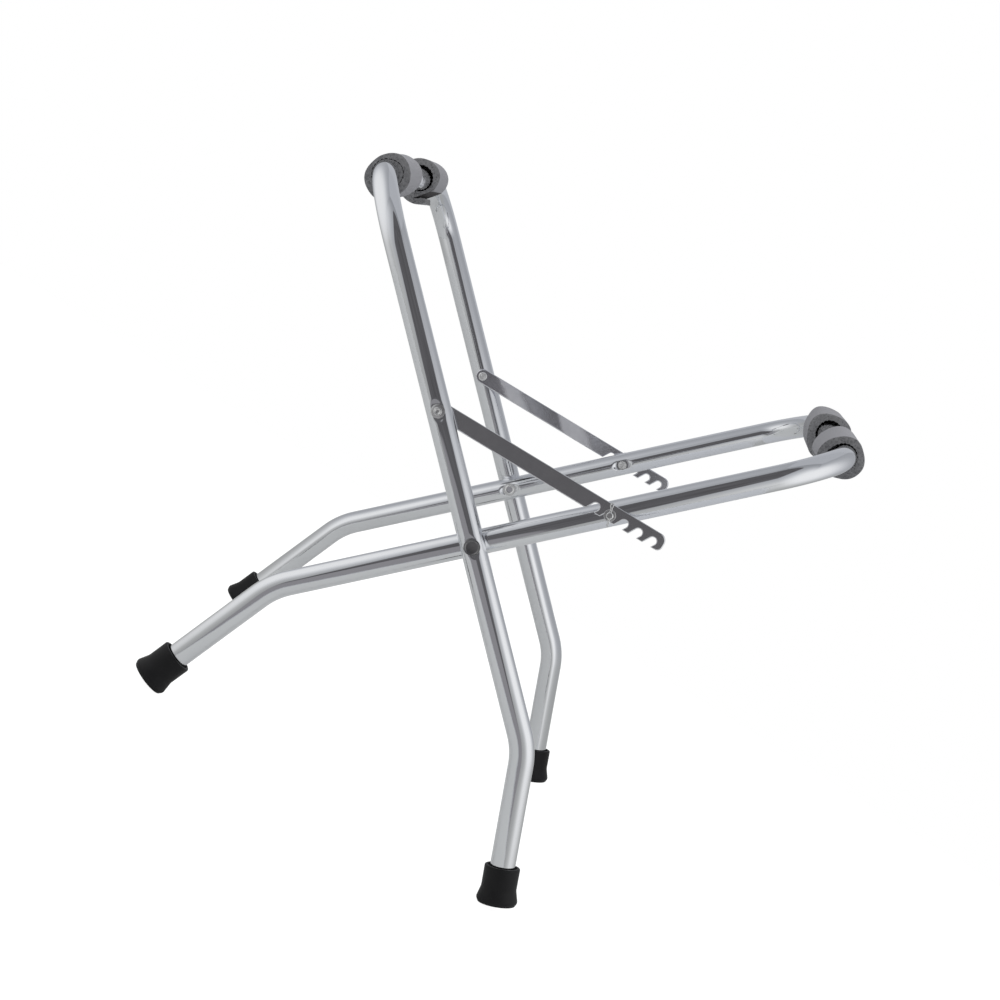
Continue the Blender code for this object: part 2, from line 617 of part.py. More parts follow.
def build_hook_pin(side_name, side, inner):
    """Pin through the inner frame that the stay hooks over, with its washer and split pin."""
    shank, head = HOOK_PIN_D / 2, HOOK_PIN_HEAD_D / 2
    head_seat = -(DIMPLE_SEAT + SEAT_GAP)
    washer_seat = TUBE_R + 2 * STAY_SIDE_PLAY + STAY_THICKNESS
    split_height = washer_seat + PIN_WASHER_THICKNESS + SEAT_GAP + SPLIT_WIRE_D / 2
    tip = split_height + SPLIT_WIRE_D / 2 + HOOK_PIN_TIP
    recess = HOOK_PIN_DIMPLE_D / 2
    head_top = head_seat - HOOK_PIN_HEAD_HEIGHT
    profile = [
        (0.0, tip),
        (shank - HOOK_PIN_TIP_CHAMFER, tip),
        (shank, tip - HOOK_PIN_TIP_CHAMFER),
        (shank, head_seat),
        (head, head_seat),
        (head, head_seat - HOOK_PIN_HEAD_HEIGHT * PIN_HEAD_EDGE),
        (head * HOOK_PIN_HEAD_TOP, head_top),
        (recess, head_top),
        (recess * HOOK_PIN_DIMPLE_FLOOR, head_top + HOOK_PIN_DIMPLE_DEPTH),
        (0.0, head_top + HOOK_PIN_DIMPLE_DEPTH),
    ]
    hole = inner.leg_axis(side, HOLE_REACH)
    pin = turned(f"{side_name}_hook_pin", profile, inner.axis)
    pin.matrix_basis = Matrix.Translation(hole) @ outward(side)
    split_axis = Matrix.Rotation(math.radians(-SPLIT_LEAN), 4, "Y")
    split_place = Matrix.Translation(hole + Vector((0.0, side * split_height, 0.0))) @ split_axis
    split_hole = (SPLIT_LEG_SPACING + SPLIT_WIRE_D) / 2 + SEAT_GAP
    cut(pin, cutter_bar(f"{side_name}_split_drill", split_hole, 2 * HOOK_PIN_D, inner.axis, split_place))
    finish(pin, ZINC)

    ring = washer(
        f"{side_name}_hook_pin_washer", shank + SEAT_GAP, PIN_WASHER_D / 2, PIN_WASHER_THICKNESS, inner.axis
    )
    ring.matrix_basis = Matrix.Translation(hole + Vector((0.0, side * washer_seat, 0.0))) @ outward(side)
    finish(ring, ZINC)

    half_spacing = SPLIT_LEG_SPACING / 2
    points = [Vector((half_spacing, 0.0, -SPLIT_LEG_LENGTH))]
    for step in range(ARC_STEPS + 1):
        angle = math.radians(SPLIT_EYE_START + SPLIT_EYE_TURN * step / ARC_STEPS)
        across = SPLIT_EYE_WIDTH / 2 * math.cos(angle)
        along = SPLIT_EYE_REACH + SPLIT_EYE_LENGTH / 2 * math.sin(angle)
        points.append(Vector((across, 0.0, along)))
    points.append(Vector((-half_spacing, 0.0, -SPLIT_LEG_LENGTH * SPLIT_SHORT_LEG)))
    split = swept(f"{side_name}_split_pin", points, SPLIT_WIRE_D / 2, WIRE_BEVEL_RESOLUTION, inner.axis)
    split.matrix_basis = split_place
    smooth(split)
    finish(split, ZINC)


def build_cradle():
    """Every piece of the cradle, frame by frame and then the joints between them."""
    outer = Frame("outer_frame", OUTER_HALF_WIDTH, -1, 1)
    inner = Frame("inner_frame", INNER_HALF_WIDTH, 1, -1)
    pivot_hole = PIVOT_SHANK_D / 2 + SEAT_GAP
    outer.build_tube((pivot_hole, STAY_RIVET_SHANK_D / 2 + SEAT_GAP))
    inner.build_tube((pivot_hole, HOOK_PIN_D / 2 + SEAT_GAP))
    for frame in (outer, inner):
        frame.build_foam()
        for side_name, side in (("near", NEAR), ("far", FAR)):
            frame.build_foot(side_name, side)
    for side_name, side in (("near", NEAR), ("far", FAR)):
        build_cross_pivot(side_name, side, outer, inner)
        build_stay_rivet(side_name, side, outer)
        build_stay(side_name, side)
        build_hook_pin(side_name, side, inner)


clear_scene()
PARTS = new_collection("bass_drum_cradle")
CUTTERS = new_collection("cradle_cutters")
build_cradle()
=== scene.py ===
"""Finished look of a folding bass drum cradle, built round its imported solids.

Two bent chromed tube frames cross on a rivet at each side. Notched steel stays hook over pins to hold
the V open, foam rings on short sleeves pad the crossbars, and rubber feet close the legs. Lengths are in
metres and angles in degrees. X runs across the V, Y along the crossbars, and Z is up.
"""

from __future__ import annotations

import json
import logging
import math
from dataclasses import dataclass
from enum import Enum

import bmesh
import bpy
import numpy as np
from mathutils import Matrix, Vector

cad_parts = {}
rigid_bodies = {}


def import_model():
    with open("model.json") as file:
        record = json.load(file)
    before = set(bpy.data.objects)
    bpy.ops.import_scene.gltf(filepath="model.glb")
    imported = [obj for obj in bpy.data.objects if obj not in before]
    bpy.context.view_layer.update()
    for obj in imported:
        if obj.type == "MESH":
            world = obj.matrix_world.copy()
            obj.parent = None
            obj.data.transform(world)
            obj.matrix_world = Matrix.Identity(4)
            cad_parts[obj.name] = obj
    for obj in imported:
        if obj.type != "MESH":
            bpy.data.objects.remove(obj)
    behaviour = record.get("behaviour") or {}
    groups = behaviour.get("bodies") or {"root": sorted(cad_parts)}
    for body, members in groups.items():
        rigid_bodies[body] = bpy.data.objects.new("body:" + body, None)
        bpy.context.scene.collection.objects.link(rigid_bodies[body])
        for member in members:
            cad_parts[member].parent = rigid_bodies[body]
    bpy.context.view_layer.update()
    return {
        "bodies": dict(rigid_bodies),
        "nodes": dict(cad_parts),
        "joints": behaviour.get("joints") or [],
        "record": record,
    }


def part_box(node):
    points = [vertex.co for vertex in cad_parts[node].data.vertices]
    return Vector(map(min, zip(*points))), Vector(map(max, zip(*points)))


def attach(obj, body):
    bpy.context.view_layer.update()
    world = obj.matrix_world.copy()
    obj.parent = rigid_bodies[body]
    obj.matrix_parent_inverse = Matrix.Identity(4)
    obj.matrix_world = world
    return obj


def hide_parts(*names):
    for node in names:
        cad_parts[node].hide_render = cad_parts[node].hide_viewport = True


LOG = logging.getLogger("cradle")
Points = np.ndarray


class Side(Enum):
    """Side of the cradle along Y."""

    NEAR = -1
    FAR = 1


class Lean(Enum):
    """Way that a frame's arm leans along X."""

    OUTER = -1
    INNER = 1


# Shader maths


class Sock:
    """A shader socket that takes part in sums, adding Math nodes as it goes."""

    def __init__(self, shader: Shader, output: bpy.types.NodeSocket) -> None:
        """Wraps one output socket of a shader."""
        self.shader = shader
        self.output = output

    def _math(self, operation: str, first: Sock | float, second: Sock | float) -> Sock:
        """Adds one Math node.

        Args:
            operation: Name of the Math node's operation.
            first: Value or socket of its first input.
            second: Value or socket of its second input.

        Returns:
            The node's output.
        """
        node = self.shader.node("ShaderNodeMath", {"operation": operation}, {0: first, 1: second})
        return node.out()

    def __add__(self, other: Sock | float) -> Sock:
        """Sum of two values."""
        return self._math("ADD", self, other)

    __radd__ = __add__

    def __sub__(self, other: Sock | float) -> Sock:
        """Difference of two values."""
        return self._math("SUBTRACT", self, other)

    def __rsub__(self, other: Sock | float) -> Sock:
        """Difference with this value taken away."""
        return self._math("SUBTRACT", other, self)

    def __mul__(self, other: Sock | float) -> Sock:
        """Product of two values."""
        return self._math("MULTIPLY", self, other)

    __rmul__ = __mul__

    def __gt__(self, other: Sock | float) -> Sock:
        """1 where this value is the greater, otherwise 0."""
        return self._math("GREATER_THAN", self, other)

    def held(self, low: float, high: float) -> Sock:
        """The value held between two limits."""
        return self._math("MINIMUM", self._math("MAXIMUM", self, low), high)


class NodeRef:
    """A node of a shader."""

    def __init__(self, shader: Shader, node: bpy.types.Node) -> None:
        """Wraps a node."""
        self.shader = shader
        self.node = node

    def out(self, key: int | str = 0) -> Sock:
        """One of the node's outputs, by number or name."""
        return Sock(self.shader, self.node.outputs[key])


class Shader:
    """Node tree of a material, a world or a lamp."""

    def __init__(self, tree: bpy.types.NodeTree) -> None:
        """Empties the tree and keeps it."""
        self.tree = tree
        tree.nodes.clear()

    def node(self, kind: str, settings: dict | None = None, inputs: dict | None = None) -> NodeRef:
        """Adds a node.

        Args:
            kind: Blender's name of the node's type.
            settings: The node's own settings, and stops for a ramp as (position, colour) pairs.
            inputs: Values, or sockets to link, by input name or number.

        Returns:
            The new node.
        """
        made = self.tree.nodes.new(kind)
        for key, value in (settings or {}).items():
            if key == "stops":
                self._set_stops(made.color_ramp, value)
            else:
                setattr(made, key, value)
        for key, value in (inputs or {}).items():
            if isinstance(value, Sock):
                self.tree.links.new(value.output, made.inputs[key])
            else:
                made.inputs[key].default_value = value
        return NodeRef(self, made)

    @staticmethod
    def _set_stops(ramp: bpy.types.ColorRamp, stops: list) -> None:
        """Gives a colour ramp its stops."""
        while len(ramp.elements) > 1:
            ramp.elements.remove(ramp.elements[-1])
        ramp.elements[0].position, ramp.elements[0].color = stops[0]
        for position, colour in stops[1:]:
            ramp.elements.new(position).color = colour

    def maths(self, operation: str, first: Sock, second: Sock | float = 0.0) -> Sock:
        """One Math node on one or two values."""
        return self.node("ShaderNodeMath", {"operation": operation}, {0: first, 1: second}).out()

    def vectors(self, operation: str, first: Sock, second: tuple) -> Sock:
        """One Vector Math node on a vector and a fixed one."""
        return self.node("ShaderNodeVectorMath", {"operation": operation}, {0: first, 1: second}).out()

    def ramp(self, value: Sock, first: float, last: float) -> Sock:
        """0 before first and 1 after last, with a smooth step between them."""
        inputs = {"Value": value, "From Min": first, "From Max": last}
        return self.node("ShaderNodeMapRange", {"interpolation_type": "SMOOTHSTEP"}, inputs).out()

    def place(self) -> Sock:
        """The point's place in the object, in metres."""
        return self.node("ShaderNodeTexCoord").out("Object")

    def noise(self, scale: float, detail: float = 2.0, roughness: float = 0.5, stretch: Vector | None = None) -> Sock:
        """Soft noise from 0 to 1.

        Args:
            scale: Cells in a metre.
            detail: Octaves of finer noise.
            roughness: Weight of the finer octaves.
            stretch: Scale of each axis, for a pattern that is longer one way.

        Returns:
            The noise's value.
        """
        where = self.place()
        if stretch is not None:
            where = self.node("ShaderNodeMapping", {}, {"Vector": where, "Scale": stretch}).out()
        inputs = {"Vector": where, "Scale": scale, "Detail": detail, "Roughness": roughness}
        return self.node("ShaderNodeTexNoise", {}, inputs).out(0)

    def mix(self, factor: Sock, first: tuple, second: tuple) -> Sock:
        """Blends two colours by a factor from 0 to 1."""
        settings = {"data_type": "RGBA"}
        inputs = {0: factor, 6: (*first, 1.0), 7: (*second, 1.0)}
        return self.node("ShaderNodeMix", settings, inputs).out(2)

    def bump(self, height: Sock, depth: float, strength: float = 1.0) -> Sock:
        """Normal of a surface raised by height times depth."""
        inputs = {"Height": height, "Distance": depth, "Strength": strength}
        return self.node("ShaderNodeBump", {}, inputs).out()

    def surface(self, inputs: dict) -> NodeRef:
        """The Principled shader, joined to the output."""
        principled = self.node("ShaderNodeBsdfPrincipled", {}, inputs)
        self.node("ShaderNodeOutputMaterial", {}, {0: principled.out()})
        return principled


# Finishes


@dataclass(frozen=True)
class Finish:
    """What every finish has in common."""

    name: str

    def material(self) -> bpy.types.Material:
        """The finish's material, made on its first use."""
        known = bpy.data.materials.get(self.name)
        if known:
            return known
        made = bpy.data.materials.new(self.name)
        made.use_nodes = True
        self.dress(Shader(made.node_tree))
        return made

    def dress(self, shader: Shader) -> None:
        """Adds the finish's nodes."""
        raise NotImplementedError


@dataclass(frozen=True)
class Plated(Finish):
    """Plated metal: a tint that clouds a little, and a polish that varies."""

    tint: tuple = (0.80, 0.81, 0.83)
    cloud_tint: tuple = (0.74, 0.75, 0.77)
    polish: float = 0.05
    haze: float = 0.05
    cloud_scale: float = 14.0
    wave_scale: float = 30.0
    wave_depth: float = 0.0002
    grain_scale: float = 900.0
    grain_depth: float = 0.0
    bands: tuple = ()
    band_haze: float = 0.42
    band_slant: float = 1.3

    def banded(self, shader: Shader) -> Sock | float:
        """1 within slanted bands of the object's x, with ragged edges."""
        if not self.bands:
            return 0.0
        parts = shader.node("ShaderNodeSeparateXYZ", {}, {0: shader.place()})
        along = parts.out(0) + self.band_slant * parts.out(2) + 0.012 * shader.noise(60.0, 3.0)
        within = 0.0
        for first, last in self.bands:
            within = shader.ramp(along, first, first + 0.009) * (1.0 - shader.ramp(along, last, last + 0.020)) + within
        return within

    def dress(self, shader: Shader) -> None:
        """Adds clouds, varying polish, dull bands and the slow waves of a rolled surface."""
        clouds = shader.noise(self.cloud_scale, 3.0)
        specks = shader.noise(self.grain_scale, 2.0)
        normal = shader.bump(shader.noise(self.wave_scale, 1.0), self.wave_depth)
        if self.grain_depth:
            grain = shader.node(
                "ShaderNodeBump", {}, {"Height": specks, "Distance": self.grain_depth, "Normal": normal}
            )
            normal = grain.out()
        dull = self.band_haze * self.banded(shader)
        shader.surface(
            {
                "Base Color": shader.mix(clouds, self.tint, self.cloud_tint),
                "Metallic": 1.0,
                "Roughness": self.polish + self.haze * clouds * (0.6 + 0.8 * specks) + dull,
                "Normal": normal,
            }
        )


@dataclass(frozen=True)
class Rubber(Finish):
    """Moulded black rubber, dusty in places."""

    tint: tuple = (0.0045, 0.0045, 0.005)
    dusty: tuple = (0.010, 0.010, 0.011)
    dullness: float = 0.30
    grain_scale: float = 1600.0
    grain_depth: float = 0.00006

    def dress(self, shader: Shader) -> None:
        """Adds dust clouds, a fine grain and an uneven shine."""
        dust = shader.noise(60.0, 4.0, 0.6)
        grain = shader.noise(self.grain_scale, 2.0)
        shader.surface(
            {
                "Base Color": shader.mix(dust, self.tint, self.dusty),
                "Specular IOR Level": 0.22,
                "Roughness": self.dullness + 0.25 * dust + 0.08 * grain,
                "Normal": shader.bump(grain, self.grain_depth),
            }
        )


@dataclass(frozen=True)
class Foam(Finish):
    """Closed-cell foam, with fine cells and soft patches."""

    tint: tuple = (0.20, 0.20, 0.21)
    patch: tuple = (0.26, 0.26, 0.27)
    pore: tuple = (0.10, 0.10, 0.11)
    cell_scale: float = 700.0
    cell_depth: float = 0.00025
    pore_share: float = 0.45

    def dress(self, shader: Shader) -> None:
        """Adds patches, dark pores and a bump for each cell."""
        patches = ((shader.noise(240.0, 4.0, 0.6) - 0.5) * 2.2 + 0.5).held(0.0, 1.0)
        grain = shader.noise(self.cell_scale, 3.0, 0.65)
        pores = ((grain - 0.50) * 5.0).held(0.0, 1.0)
        body = shader.mix(patches, self.tint, self.patch)
        inputs = {0: pores * self.pore_share, 6: body, 7: (*self.pore, 1.0)}
        colour = shader.node("ShaderNodeMix", {"data_type": "RGBA"}, inputs).out(2)
        shader.surface(
            {
                "Base Color": colour,
                "Roughness": 0.92 + 0.08 * grain,
                "Normal": shader.bump(grain, self.cell_depth),
            }
        )


CHROME = Plated("bright_chrome")
NEAR_PLATE = Plated(
    "near_stay_plate", (0.88, 0.88, 0.89), (0.68, 0.68, 0.70), 0.12, 0.08, 110.0, 24.0, 0.0002, 1400.0, 0.00001
)
FAR_PLATE = Plated(
    "far_stay_plate", (0.84, 0.84, 0.87), (0.62, 0.62, 0.66), 0.07, 0.10, 90.0, 24.0, 0.0002, 1400.0, 0.00001,
    ((0.390, 0.411), (0.462, 0.490)),
)
ZINC = Plated("zinc_plate", (0.92, 0.92, 0.91), (0.76, 0.76, 0.76), 0.24, 0.16, 160.0, 400.0, 0.00006, 1800.0, 0.00001)
# Dark plate: all of the near cross-pivot rivet, and painted shade in the cross-pivot rivet's bore and round the rims of
# the stay rivet's and hook pin's heads. It also darkens the middle of the cross-pivot rivet's dished head.
DARK_ZINC_AND_SHADE = Plated(
    "dull_plate", (0.30, 0.30, 0.30), (0.20, 0.20, 0.205), 0.26, 0.16, 160.0, 400.0, 0.0001, 1800.0, 0.00003
)
BLACK_RUBBER = Rubber("black_rubber")
RING_FOAM = Foam("ring_foam", (0.210, 0.213, 0.222), (0.345, 0.350, 0.360), (0.13, 0.13, 0.14), pore_share=0.45)
CUT_FOAM = Foam("cut_foam", (0.150, 0.151, 0.158), (0.215, 0.216, 0.224), (0.05, 0.05, 0.055), 520.0, 0.0003, 0.75)
# Near-black foam, painted shade in the slit under the overlapping lip of a wrapped ring.
SLIT_PAINTED_SHADE = Foam("slit_foam", (0.034, 0.031, 0.033), (0.050, 0.045, 0.046), (0.02, 0.02, 0.02), 520.0, 0.0003)


# Meshes


@dataclass
class Basis:
    """A place and three directions, for laying out a piece."""

    origin: Points
    x: Points
    y: Points
    z: Points

    def at(self, local: Points) -> Points:
        """World places of local ones, whose last axis is x, y, z."""
        return self.origin + local[..., :1] * self.x + local[..., 1:2] * self.y + local[..., 2:3] * self.z

    @classmethod
    def about(cls, origin: Points, axis: Points) -> Basis:
        """A basis whose z is the given axis.

        Args:
            origin: Its place.
            axis: Direction of z.

        Returns:
            The basis, right-handed.
        """
        z = np.asarray(axis, float) / np.linalg.norm(axis)
        side = np.array([0.0, 1.0, 0.0]) if abs(z[1]) < 0.9 else np.array([1.0, 0.0, 0.0])
        x = np.cross(side, z)
        x /= np.linalg.norm(x)
        return cls(np.asarray(origin, float), x, np.cross(z, x), z)


class MeshMaker:
    """Collects grids of points and joins them as one mesh."""

    def __init__(self) -> None:
        """Starts with no faces."""
        self.points: list[Points] = []
        self.faces: list[list[int]] = []
        self.slots: list[int] = []
        self.count = 0

    def _add_points(self, points: Points) -> int:
        """Adds points and gives the number of the first."""
        first = self.count
        self.points.append(points.reshape(-1, 3))
        self.count += len(self.points[-1])
        return first

    def _add_faces(self, faces: Points, slot: int) -> None:
        """Adds faces of one material slot."""
        self.faces += faces.tolist()
        self.slots += [int(slot)] * len(faces)

    def grid(
        self, points: Points, wrap_rows: bool = False, wrap_columns: bool = True, slot: int | Points = 0
    ) -> None:
        """Adds a grid of rows and columns as quads.

        Args:
            points: Array of rows by columns by 3.
            wrap_rows: Joins the last row to the first.
            wrap_columns: Joins the last column to the first.
            slot: Material slot of its faces, of the faces after each row, or of each face.
        """
        rows, columns = points.shape[:2]
        index = np.arange(rows * columns).reshape(rows, columns) + self._add_points(points)
        if wrap_rows:
            index = np.vstack([index, index[:1]])
        if wrap_columns:
            index = np.hstack([index, index[:, :1]])
        quads = np.stack([index[:-1, :-1], index[:-1, 1:], index[1:, 1:], index[1:, :-1]], axis=-1)
        slots = np.broadcast_to(np.atleast_2d(np.asarray(slot).T).T, quads.shape[:2])
        self.faces += quads.reshape(-1, 4).tolist()
        self.slots += slots.ravel().tolist()

    def fan(self, rim: Points, centre: Points, flip: bool = False, slot: int = 0) -> None:
        """Closes a ring of points with triangles to a centre.

        Args:
            rim: Points in order round the ring.
            centre: Middle point.
            flip: Turns the faces over.
            slot: Material slot of its faces.
        """
        first = self._add_points(np.vstack([rim, centre[None]]))
        around = np.arange(len(rim)) + first
        following = np.roll(around, -1)
        middle = np.full(len(rim), first + len(rim))
        order = (following, around, middle) if flip else (around, following, middle)
        self._add_faces(np.stack(order, axis=-1), slot)

    def plate(self, rim: Points, slot: int = 0) -> None:
        """Closes a flat ring of points with one face."""
        first = self._add_points(rim)
        self.faces.append((np.arange(len(rim)) + first).tolist())
        self.slots.append(slot)

    def finish(self, name: str, finishes: list[Finish], sharp: float = 40.0) -> bpy.types.Object:
        """Joins the grids, turns the faces outwards and makes the object.

        Args:
            name: The piece's name.
            finishes: Finish of each material slot.
            sharp: Angle between faces past which an edge stays sharp.

        Returns:
            The object, at the origin, with its place in its mesh.
        """
        mesh = bpy.data.meshes.new(name)
        mesh.from_pydata(np.vstack(self.points).tolist(), [], self.faces)
        mesh.polygons.foreach_set("material_index", np.array(self.slots, dtype=np.int32))
        for finish in finishes:
            mesh.materials.append(finish.material())
        shape = bmesh.new()
        shape.from_mesh(mesh)
        bmesh.ops.remove_doubles(shape, verts=shape.verts, dist=1e-7)
        bmesh.ops.recalc_face_normals(shape, faces=shape.faces)
        if shape.calc_volume(signed=True) < 0:
            bmesh.ops.reverse_faces(shape, faces=shape.faces)
        shape.to_mesh(mesh)
        shape.free()
        mesh.shade_smooth()
        mesh.set_sharp_from_angle(angle=math.radians(sharp))
        made = bpy.data.objects.new(name, mesh)
        bpy.context.scene.collection.objects.link(made)
        return made


def rounded(corners: list[tuple], steps: int = 5) -> Points:
    """A line through corners, with an arc in place of each corner that has a radius.

    At a corner, the arc touches both straight runs at radius times the tangent of half the turn
    from it, and its points are the blend of the two tangent points about the arc's centre.

    Args:
        corners: (x, y, radius) of each corner; the first and last have radius 0.
        steps: Segments of each arc.

    Returns:
        Array of points by 2.
    """
    line = []
    places = [np.array(c[:2], float) for c in corners]
    for i, (here, corner) in enumerate(zip(places, corners)):
        if i in (0, len(corners) - 1) or corner[2] <= 0.0:
            line.append(here[None])
            continue
        back = (places[i - 1] - here) / np.linalg.norm(places[i - 1] - here)
        ahead = (places[i + 1] - here) / np.linalg.norm(places[i + 1] - here)
        opening = math.acos(float(np.clip(back @ ahead, -1.0, 1.0)))
        if math.pi - opening < 1e-3:
            line.append(here[None])
            continue
        reach = corner[2] / math.tan(opening / 2)
        bisector = (back + ahead) / np.linalg.norm(back + ahead)
        centre = here + bisector * corner[2] / math.sin(opening / 2)
        first, last = here + back * reach - centre, here + ahead * reach - centre
        share = np.linspace(0.0, 1.0, steps + 1)[:, None]
        turn = math.pi - opening
        arc = (np.sin((1 - share) * turn) * first + np.sin(share * turn) * last) / math.sin(turn)
        line.append(centre + arc)
    return np.vstack(line)


def turned(maker: MeshMaker, profile: Points, basis: Basis, steps: int = 64, dull: tuple = (0.0, 0.0)) -> None:
    """Adds a turned shape: each profile point (radius, height) goes round the basis's z.

    A point at angle a is radius times (cos a, sin a) across z, and height along it. Points on the
    axis at either end become the middle of a fan.

    Args:
        maker: Mesh to add to.
        profile: Array of points by 2.
        basis: Place and axis.
        steps: Points round the axis.
        dull: Radii between which the faces take the second material slot, the dark plate of painted shade.
    """
    starts_on_axis, ends_on_axis = profile[0, 0] < 1e-9, profile[-1, 0] < 1e-9
    open_part = profile[int(starts_on_axis): len(profile) - int(ends_on_axis)]
    angle = np.linspace(0.0, 2 * math.pi, steps, endpoint=False)
    local = np.empty((len(open_part), steps, 3))
    local[..., 0] = open_part[:, :1] * np.cos(angle)
    local[..., 1] = open_part[:, :1] * np.sin(angle)
    local[..., 2] = open_part[:, 1:2]
    points = basis.at(local)
    closed = not (starts_on_axis or ends_on_axis)
    middle = (open_part[:, 0] + np.roll(open_part[:, 0], -1)) / 2
    # Faces between the dull radii take slot 1, the dark plate of painted shade.
    dark = ((middle > dull[0]) & (middle < dull[1])).astype(int)
    maker.grid(points, wrap_rows=closed, slot=dark if closed else dark[:-1])
    if starts_on_axis:
        maker.fan(points[0], basis.at(np.array([0.0, 0.0, profile[0, 1]])), flip=True, slot=dark[0])
    if ends_on_axis:
        maker.fan(points[-1], basis.at(np.array([0.0, 0.0, profile[-1, 1]])), slot=dark[-2])


def keep(piece: bpy.types.Object, body: str, slot: str, *nodes: str) -> None:
    """Rides a finished piece on its body in place of its solids.

    Args:
        piece: The piece.
        body: Body that it moves with.
        slot: The record's material slot; not used.
        nodes: Solids that it stands for.
    """
    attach(piece, body)
    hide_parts(*nodes)
    LOG.info("%s: %d faces on %s", piece.name, len(piece.data.polygons), body)


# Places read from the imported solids


@dataclass
class Layout:
    """Where the frame's pieces are, read from the joints, mounts and solids."""

    pivot: Points
    rivet: Points
    mounts: dict

    @classmethod
    def read(cls, frame: dict) -> Layout:
        """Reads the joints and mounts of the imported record."""
        joints = {joint["name"]: joint for joint in frame["joints"]}
        mounts = {mount["name"]: mount for mount in frame["record"]["mounts"]}
        return cls(np.array(joints["fold"]["pos_m"]), np.array(joints["near_stay_swing"]["pos_m"]), mounts)

    @property
    def arm_angle(self) -> float:
        """Angle of the arms from upright, in radians."""
        return math.atan2(abs(self.rivet[0] - self.pivot[0]), self.rivet[2] - self.pivot[2])

    @property
    def hole_reach(self) -> float:
        """Cross pivot to the stay's rivet."""
        return float(np.hypot(self.rivet[0] - self.pivot[0], self.rivet[2] - self.pivot[2]))

    @staticmethod
    def span(node: str) -> tuple[Points, Points]:
        """Lowest and highest corner of a solid, as arrays."""
        low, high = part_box(node)
        return np.array(low), np.array(high)


